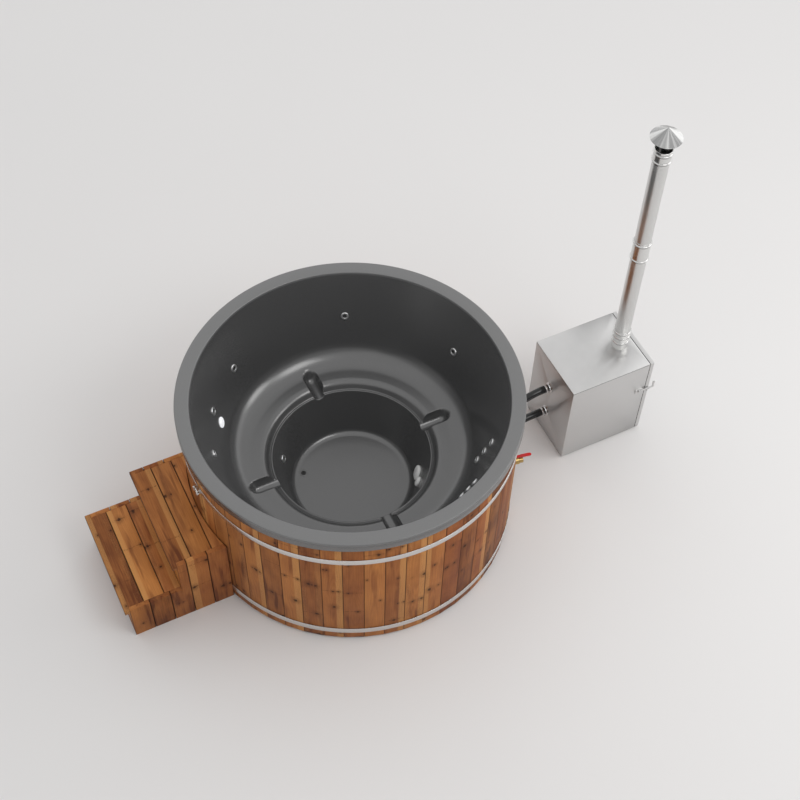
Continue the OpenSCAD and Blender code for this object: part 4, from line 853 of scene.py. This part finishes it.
band_inner = hose_radius + 0.0003
band_wide = 0.012
band_section = rounded_section(band_inner, band_inner + 0.0014, 0.0, band_wide, 0.0005)
housing_low = (-0.0072, band_inner + 0.0012, 0.0002)
housing_high = (0.0072, band_inner + 0.0090, band_wide - 0.0002)
screw_outline = [(0.0, 0.0), (0.0034, 0.0), (0.0038, 0.0004), (0.0038, 0.0036)]
screw_outline += [(0.0032, 0.0042), (0.0010, 0.0034), (0.0, 0.0034)]
on_side = Matrix.Rotation(math.pi / 2, 4, "Y")
screw_seat = Matrix.Translation((0.0070, band_inner + 0.0055, band_wide / 2)) @ on_side
band_ends = (1.010, 1.308)
clamp_places = [(x, levels[end]) for end, x in enumerate(band_ends) for levels in hose_levels.values()]
clamp_pieces = []
for x, level in clamp_places:
    along = Matrix.Translation((x, hose_y, level)) @ on_side
    clamp_pieces.append(turned(band_section, 64, along))
    housing = block(housing_low, housing_high, 0.0012)
    screw = turned(screw_outline, 24, screw_seat)
    for piece in (housing, screw):
        piece.data.transform(along @ Matrix.Rotation(math.pi, 4, "Z"))
        clamp_pieces.append(piece)
joined("hose_bands", clamp_pieces, polished_steel, "tub", "hose_clamps", smooth=40, slot="sheet_steel")
softened("tub_spigots", polished_steel, "tub", 0.0010, slot="sheet_steel")
softened("heater_spigots", polished_steel, "tub", 0.0010, slot="sheet_steel")

# ---------------------------------------------------------------- Heater
# A box of brushed stainless sheet with folded seams, standing on four low feet, round a
# welded black firebox. The water lies between the two.
sheet_steel = steel_paint("brushed sheet steel", (0.66, 0.655, 0.65), 0.38, (14.0, 14.0, 700.0), 0.10)
case_low, case_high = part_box("heater_body")
heater_x0, heater_y0 = case_low.x, case_low.y
heater_x1, heater_y1, heater_top = case_high
seam_wide, seam_deep = 0.0046, 0.0018
seam_shade_inset, seam_shade_sunk = 0.0006, 0.0004


def grooved(piece, low, high):
    """Cuts a box-shaped groove out of a piece."""
    groove = block(low, high, 0.0001)
    cutting = piece.modifiers.new("groove", "BOOLEAN")
    cutting.operation = "DIFFERENCE"
    cutting.solver = "EXACT"
    cutting.object = groove
    apply_modifiers(piece)
    bpy.data.objects.remove(groove)


case = softened("heater_body", sheet_steel, "tub", 0.0009, slot="sheet_steel")
seam_top = heater_top - 0.0040
seam_foot = seam_top - seam_wide


def seam_sides(past, deep):
    """Where the seam runs on three sides of the case: how far past its faces, and how deep."""
    return (
        ((heater_x0 - past, heater_y0 - past), (heater_x1 + past, heater_y0 + deep)),
        ((heater_x0 - past, heater_y1 - deep), (heater_x1 + past, heater_y1 + past)),
        ((heater_x0 - past, heater_y0 - past), (heater_x0 + deep, heater_y1 + past)),
    )


for low, high in seam_sides(0.01, seam_deep):
    grooved(case, (*low, seam_foot), (*high, seam_top))
# painted shade: black strips set into the three seam grooves, so the grooves read dark
seam_shade_strips = []
for low, high in seam_sides(-seam_shade_inset, seam_deep + seam_shade_sunk):
    seam_shade_strips.append(block((*low, seam_foot + 0.0001), (*high, seam_top - 0.0001), 0.0002))
joined("case_seam_shade", seam_shade_strips, hose_black.material, "tub", smooth=40, slot="black_rubber")

foot_outline = (
    [(0.0, 0.0)]
    + arc((0.0230, 0.0020), 0.0020, -90, 0, 3)
    + arc((0.0235, 0.0105), 0.0015, 0, 90, 3)
    + [(0.0, 0.012)]
)
foot = turned(foot_outline, 48)
foot_inset = 0.040
feet_places = [
    Matrix.Translation((x, y, 0.0))
    for x in (heater_x0 + foot_inset, heater_x1 - foot_inset)
    for y in (heater_y0 + foot_inset, heater_y1 - foot_inset)
]
set_out(foot, feet_places, "feet", polished_steel, "tub", "heater_feet", smooth=40, slot="sheet_steel")

sooty = Paint("sooty black plate", metallic=0.6)
soot = sooty.noise(sooty.place(), 14.0, 4.0)
scale_spots = sooty.noise(sooty.place(), 120.0, 3.0)
sooty.set("base_color", sooty.mix(soot, (0.012, 0.011, 0.010), (0.060, 0.055, 0.050)))
sooty.set("roughness", 0.62 + soot * 0.25)
sooty.bump(scale_spots, 0.30, 0.0008)
sooty = sooty.material
finish_node(sooty, "firebox", "grate", "smoke_plate", "door_inner_plate")
finish_node(sheet_steel, "front_frame", "flue_spigot")

# ---------------------------------------------------------------- Door
# The full-height end door: a steel pan filled with mineral fibre, with a rope seal, lift-off
# hinges at its far edge, a catch stud, and an air shutter that slides over four slots.
softened("door_shell", sheet_steel, "heater_door", 0.0012, slot="sheet_steel")
softened("hinge_leaves", sheet_steel, "tub", 0.0006, slot="sheet_steel")
softened("door_knuckles", sheet_steel, "heater_door", 0.0006, slot="sheet_steel")
softened("door_stud", polished_steel, "heater_door", 0.0010, slot="bright_steel")
softened("shutter_rails", sheet_steel, "heater_door", 0.0005, slot="sheet_steel")
softened("air_shutter", sheet_steel, "shutter", 0.0006, slot="sheet_steel")
finish_node(polished_steel, "hinge_pins")

fibre = Paint("pale mineral fibre", roughness=0.95)
strands = fibre.noise(fibre.place((40, 40, 400)), 1.0, 5.0, 0.7)
fibre.set("base_color", fibre.mix(strands, (0.52, 0.48, 0.40), (0.78, 0.75, 0.68)))
fibre.bump(strands, 0.50, 0.0010)
finish_node(fibre.material, "door_insulation", "door_seal")

# ---------------------------------------------------------------- Latch
# A stainless lever on a plate on the heater's side. Its upturned handle stands past the
# door, and its nose drops in front of the door's stud.
softened("latch_plate", sheet_steel, "tub", 0.0008, slot="sheet_steel")
softened("latch_lever", sheet_steel, "latch", 0.0012, slot="bright_steel")

# ---------------------------------------------------------------- Flue
# Two lengths of drawn stainless pipe, joined and capped by rolled sockets with raised ribs,
# and a pointed rain cap on three straps.
flue_x, flue_y = 1.803, -0.080
flue_radius = 0.0485
socket_radius = 0.0513
rib_radius = 0.0565
rib_half = 0.0065
rib_steps = 12
flue_sides = 128
flue_axis = Matrix.Translation((flue_x, flue_y, 0.0))
flue_steel = steel_paint("drawn flue steel", (0.68, 0.68, 0.67), 0.30, (60.0, 60.0, 900.0), 0.06)


def rolled_socket(low, high, ribs):
    """A rolled steel sleeve with round raised ribs at the given heights above its foot."""
    outline = [(flue_radius + 0.0003, low), (socket_radius - 0.0006, low), (socket_radius, low + 0.0006)]
    for rib in ribs:
        for i in range(rib_steps + 1):
            swing = math.pi * i / rib_steps
            swell = (rib_radius - socket_radius) * math.sin(swing) ** 1.3
            outline.append((socket_radius + swell, low + rib - rib_half * math.cos(swing)))
    outline += [(socket_radius, high - 0.0006), (socket_radius - 0.0006, high)]
    outline += [(flue_radius + 0.0003, high)]
    return turned(outline, flue_sides, flue_axis)


for name, node, low, high, ribs in (
    ("flue_base_socket", "flue_base", 0.681, 0.839, (0.057, 0.106, 0.145)),
    ("flue_middle_socket", "flue_socket", 1.470, 1.630, (0.017, 0.143)),
    ("flue_top_socket", "flue_top", 2.240, 2.334, (0.016, 0.071)),
):
    # the creases sit just under each rib, where the painted shade goes
    creases = [low + rib - rib_half - 0.001 for rib in ribs]
    finish = steel_paint(name + " steel", (0.72, 0.72, 0.71), 0.24, (60.0, 60.0, 900.0), 0.06, creases)
    joined(name, [rolled_socket(low, high, ribs)], finish, "tub", node, smooth=40, slot="bright_steel")
for name in ("flue_lower", "flue_upper"):
    low, high = (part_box(name)[i].z for i in (0, 1))
    section = rounded_section(flue_radius - 0.0012, flue_radius, low, high, 0.0004)
    pipe = turned(section, flue_sides, flue_axis)
    joined(name + "_pipe", [pipe], flue_steel, "tub", name, smooth=40, slot="sheet_steel")

cap_low, cap_point = 2.408, 2.477
cap_outline = (
    [(0.0, cap_point), (0.0030, cap_point - 0.0015)]
    + [(0.0880, cap_low + 0.0030)]
    + arc((0.0888, cap_low + 0.0016), 0.0012, 60, -90, 4)
    + [(0.0860, cap_low + 0.0002), (0.0, cap_point - 0.0080)]
)
cap_parts = [turned(cap_outline, flue_sides, flue_axis)]
strap_low, strap_high = (0.0444, -0.007, 2.284), (0.0464, 0.007, 2.4384)
for angle in (83.5, 203.5, 323.5):
    strap = block(strap_low, strap_high, 0.0004)
    strap.data.transform(flue_axis @ Matrix.Rotation(math.radians(angle), 4, "Z"))
    cap_parts.append(strap)
spun = Paint("spun cap steel with painted reflection", metallic=1.0)
here = spun.node("ShaderNodeTexCoord", output=3)
centred = spun.node("ShaderNodeMapping", inputs={0: here, 1: (-flue_x, -flue_y, 0.0), 3: (1, 1, 0)})
outward = spun.node("ShaderNodeVectorMath", {"operation": "NORMALIZE"}, {0: centred})
# painted reflection: broad light and dark sectors round the cap's axis stand in for reflected surroundings,
# with fine spun hairlines over them
reflection_sectors = spun.noise(outward, 1.6, 2.0)
hair = spun.noise(outward, 60.0, 3.0)
painted_reflection_and_hairline = spun.step(reflection_sectors, 0.40, 0.58) * 0.8 + hair * 0.2
spun.set("base_color", spun.mix(painted_reflection_and_hairline, (0.30, 0.30, 0.30), (0.80, 0.80, 0.79)))
spun.set("roughness", 0.22 + hair * 0.10)
spun.bump(hair, 0.08, 0.0004)
joined("rain_cap_cone", cap_parts, spun.material, "tub", "rain_cap", smooth=30, slot="bright_steel")

# ---------------------------------------------------------------- Steps
# Two treads of planed boards over risers and upright side boards, nailed to a frame of
# square rails. The side boards finish level with the treads and follow the tub's curve.
step_low_side, step_high_side = -0.324, 0.396
board_thick, board_wide, board_gap = 0.028, 0.122, 0.003
board_pitch = board_wide + board_gap
board_edge = 0.0018
step_out = -1.579
step_nose = 0.030
low_riser = step_out + step_nose
high_nose = -1.260
high_riser = high_nose + step_nose
low_top, high_top = 0.294, 0.564
tub_clear = 0.9873
side_clear = board_thick + 0.0003


def cut_to_tub(piece):
    """Trims a board to the curve of the tub."""
    bpy.ops.mesh.primitive_cylinder_add(vertices=360, radius=tub_clear, depth=3.0)
    round_cut = bpy.context.object
    trimming = piece.modifiers.new("trim", "BOOLEAN")
    trimming.operation = "DIFFERENCE"
    trimming.solver = "EXACT"
    trimming.object = round_cut
    apply_modifiers(piece)
    bpy.data.objects.remove(round_cut)
    return piece


def tread(start, stop, top):
    """Boards laid side by side. The first runs over the sides as a nose, the rest between them."""
    boards = []
    x = start
    while x < stop - 0.005:
        nose = x < start + step_nose
        board = block(
            (x, step_low_side if nose else step_low_side + side_clear, top - board_thick),
            (min(x + board_wide, stop), step_high_side if nose else step_high_side - side_clear, top),
            board_edge,
        )
        if nose:
            for low, high in (
                (step_low_side - 0.01, step_low_side + side_clear),
                (step_high_side - side_clear, step_high_side + 0.01),
            ):
                grooved(board, (start + step_nose - 0.0003, low, 0.0), (stop + 0.1, high, top + 0.1))
        if min(x + board_wide, stop) > -tub_clear:
            cut_to_tub(board)
        grain_along(board, 0, 2, 1)
        boards.append(board)
        x += board_pitch
    return boards


tread_half = (step_high_side - step_low_side) / 2
back_line = -math.sqrt(tub_clear**2 - tread_half**2)
low_boards = tread(step_out, high_riser, low_top)
joined("lower_tread", low_boards, oiled_pine, "tub", "step_treads_low", slot="stained_wood")
high_boards = tread(high_nose, back_line, high_top)
joined("upper_tread", high_boards, oiled_pine, "tub", "step_treads_high", slot="stained_wood")

riser_boards = []
for x, low, top in ((low_riser, 0.0, low_top), (high_riser, low_top, high_top)):
    tall = (top - board_thick - low - board_gap) / 2
    for i in range(2):
        z = low + i * (tall + board_gap)
        board = block(
            (x, step_low_side + side_clear, z),
            (x + board_thick, step_high_side - side_clear, z + tall),
            board_edge,
        )
        grain_along(board, 2, 0, 1)
        riser_boards.append(board)
joined("risers", riser_boards, oiled_pine, "tub", "step_risers", slot="stained_wood")

for name, y in (("step_side_near", step_low_side), ("step_side_far", step_high_side - board_thick)):
    side_boards = []
    for i in range(6):
        x = low_riser + i * board_pitch
        reach = math.sqrt(tub_clear**2 - max(abs(y), abs(y + board_thick)) ** 2)
        if x > -reach:
            continue
        top = high_top if x + board_wide > high_riser + 0.001 else low_top
        board = block((x, y, 0.0), (x + board_wide, y + board_thick, top), board_edge)
        if x < high_riser < x + board_wide:
            grooved(board, (x - 0.01, y - 0.01, low_top), (high_riser, y + 0.05, high_top + 0.1))
        if x + board_wide > -tub_clear:
            cut_to_tub(board)
        grain_along(board, 0, 1, 2)
        side_boards.append(board)
    joined(name + "_boards", side_boards, oiled_pine, "tub", name, slot="stained_wood")

# ---------------------------------------------------------------- Hidden timber
# Sawn pine under and behind the tub and inside the steps: joists, base boards, beams, posts,
# the ring behind the stave tops, and the steps' rails.
sawn_tones = ((0.66, 0.47, 0.27), (0.54, 0.36, 0.19), (0.27, 0.15, 0.06))
quarter_turn = math.radians(90)
sawn_along_x = wood_paint("sawn pine lengthways", *sawn_tones, 0.62, turn=(0, quarter_turn, 0))
sawn_along_y = wood_paint("sawn pine crossways", *sawn_tones, 0.62, turn=(quarter_turn, 0, 0))
sawn_upright = wood_paint("sawn pine upright", *sawn_tones, 0.62, turn=(0, 0, quarter_turn))
finish_node(sawn_along_x, "base_joists", "well_beams")
finish_node(sawn_along_y, "base_boards", "step_frame")
finish_node(sawn_upright, "bench_posts", "stave_ring")
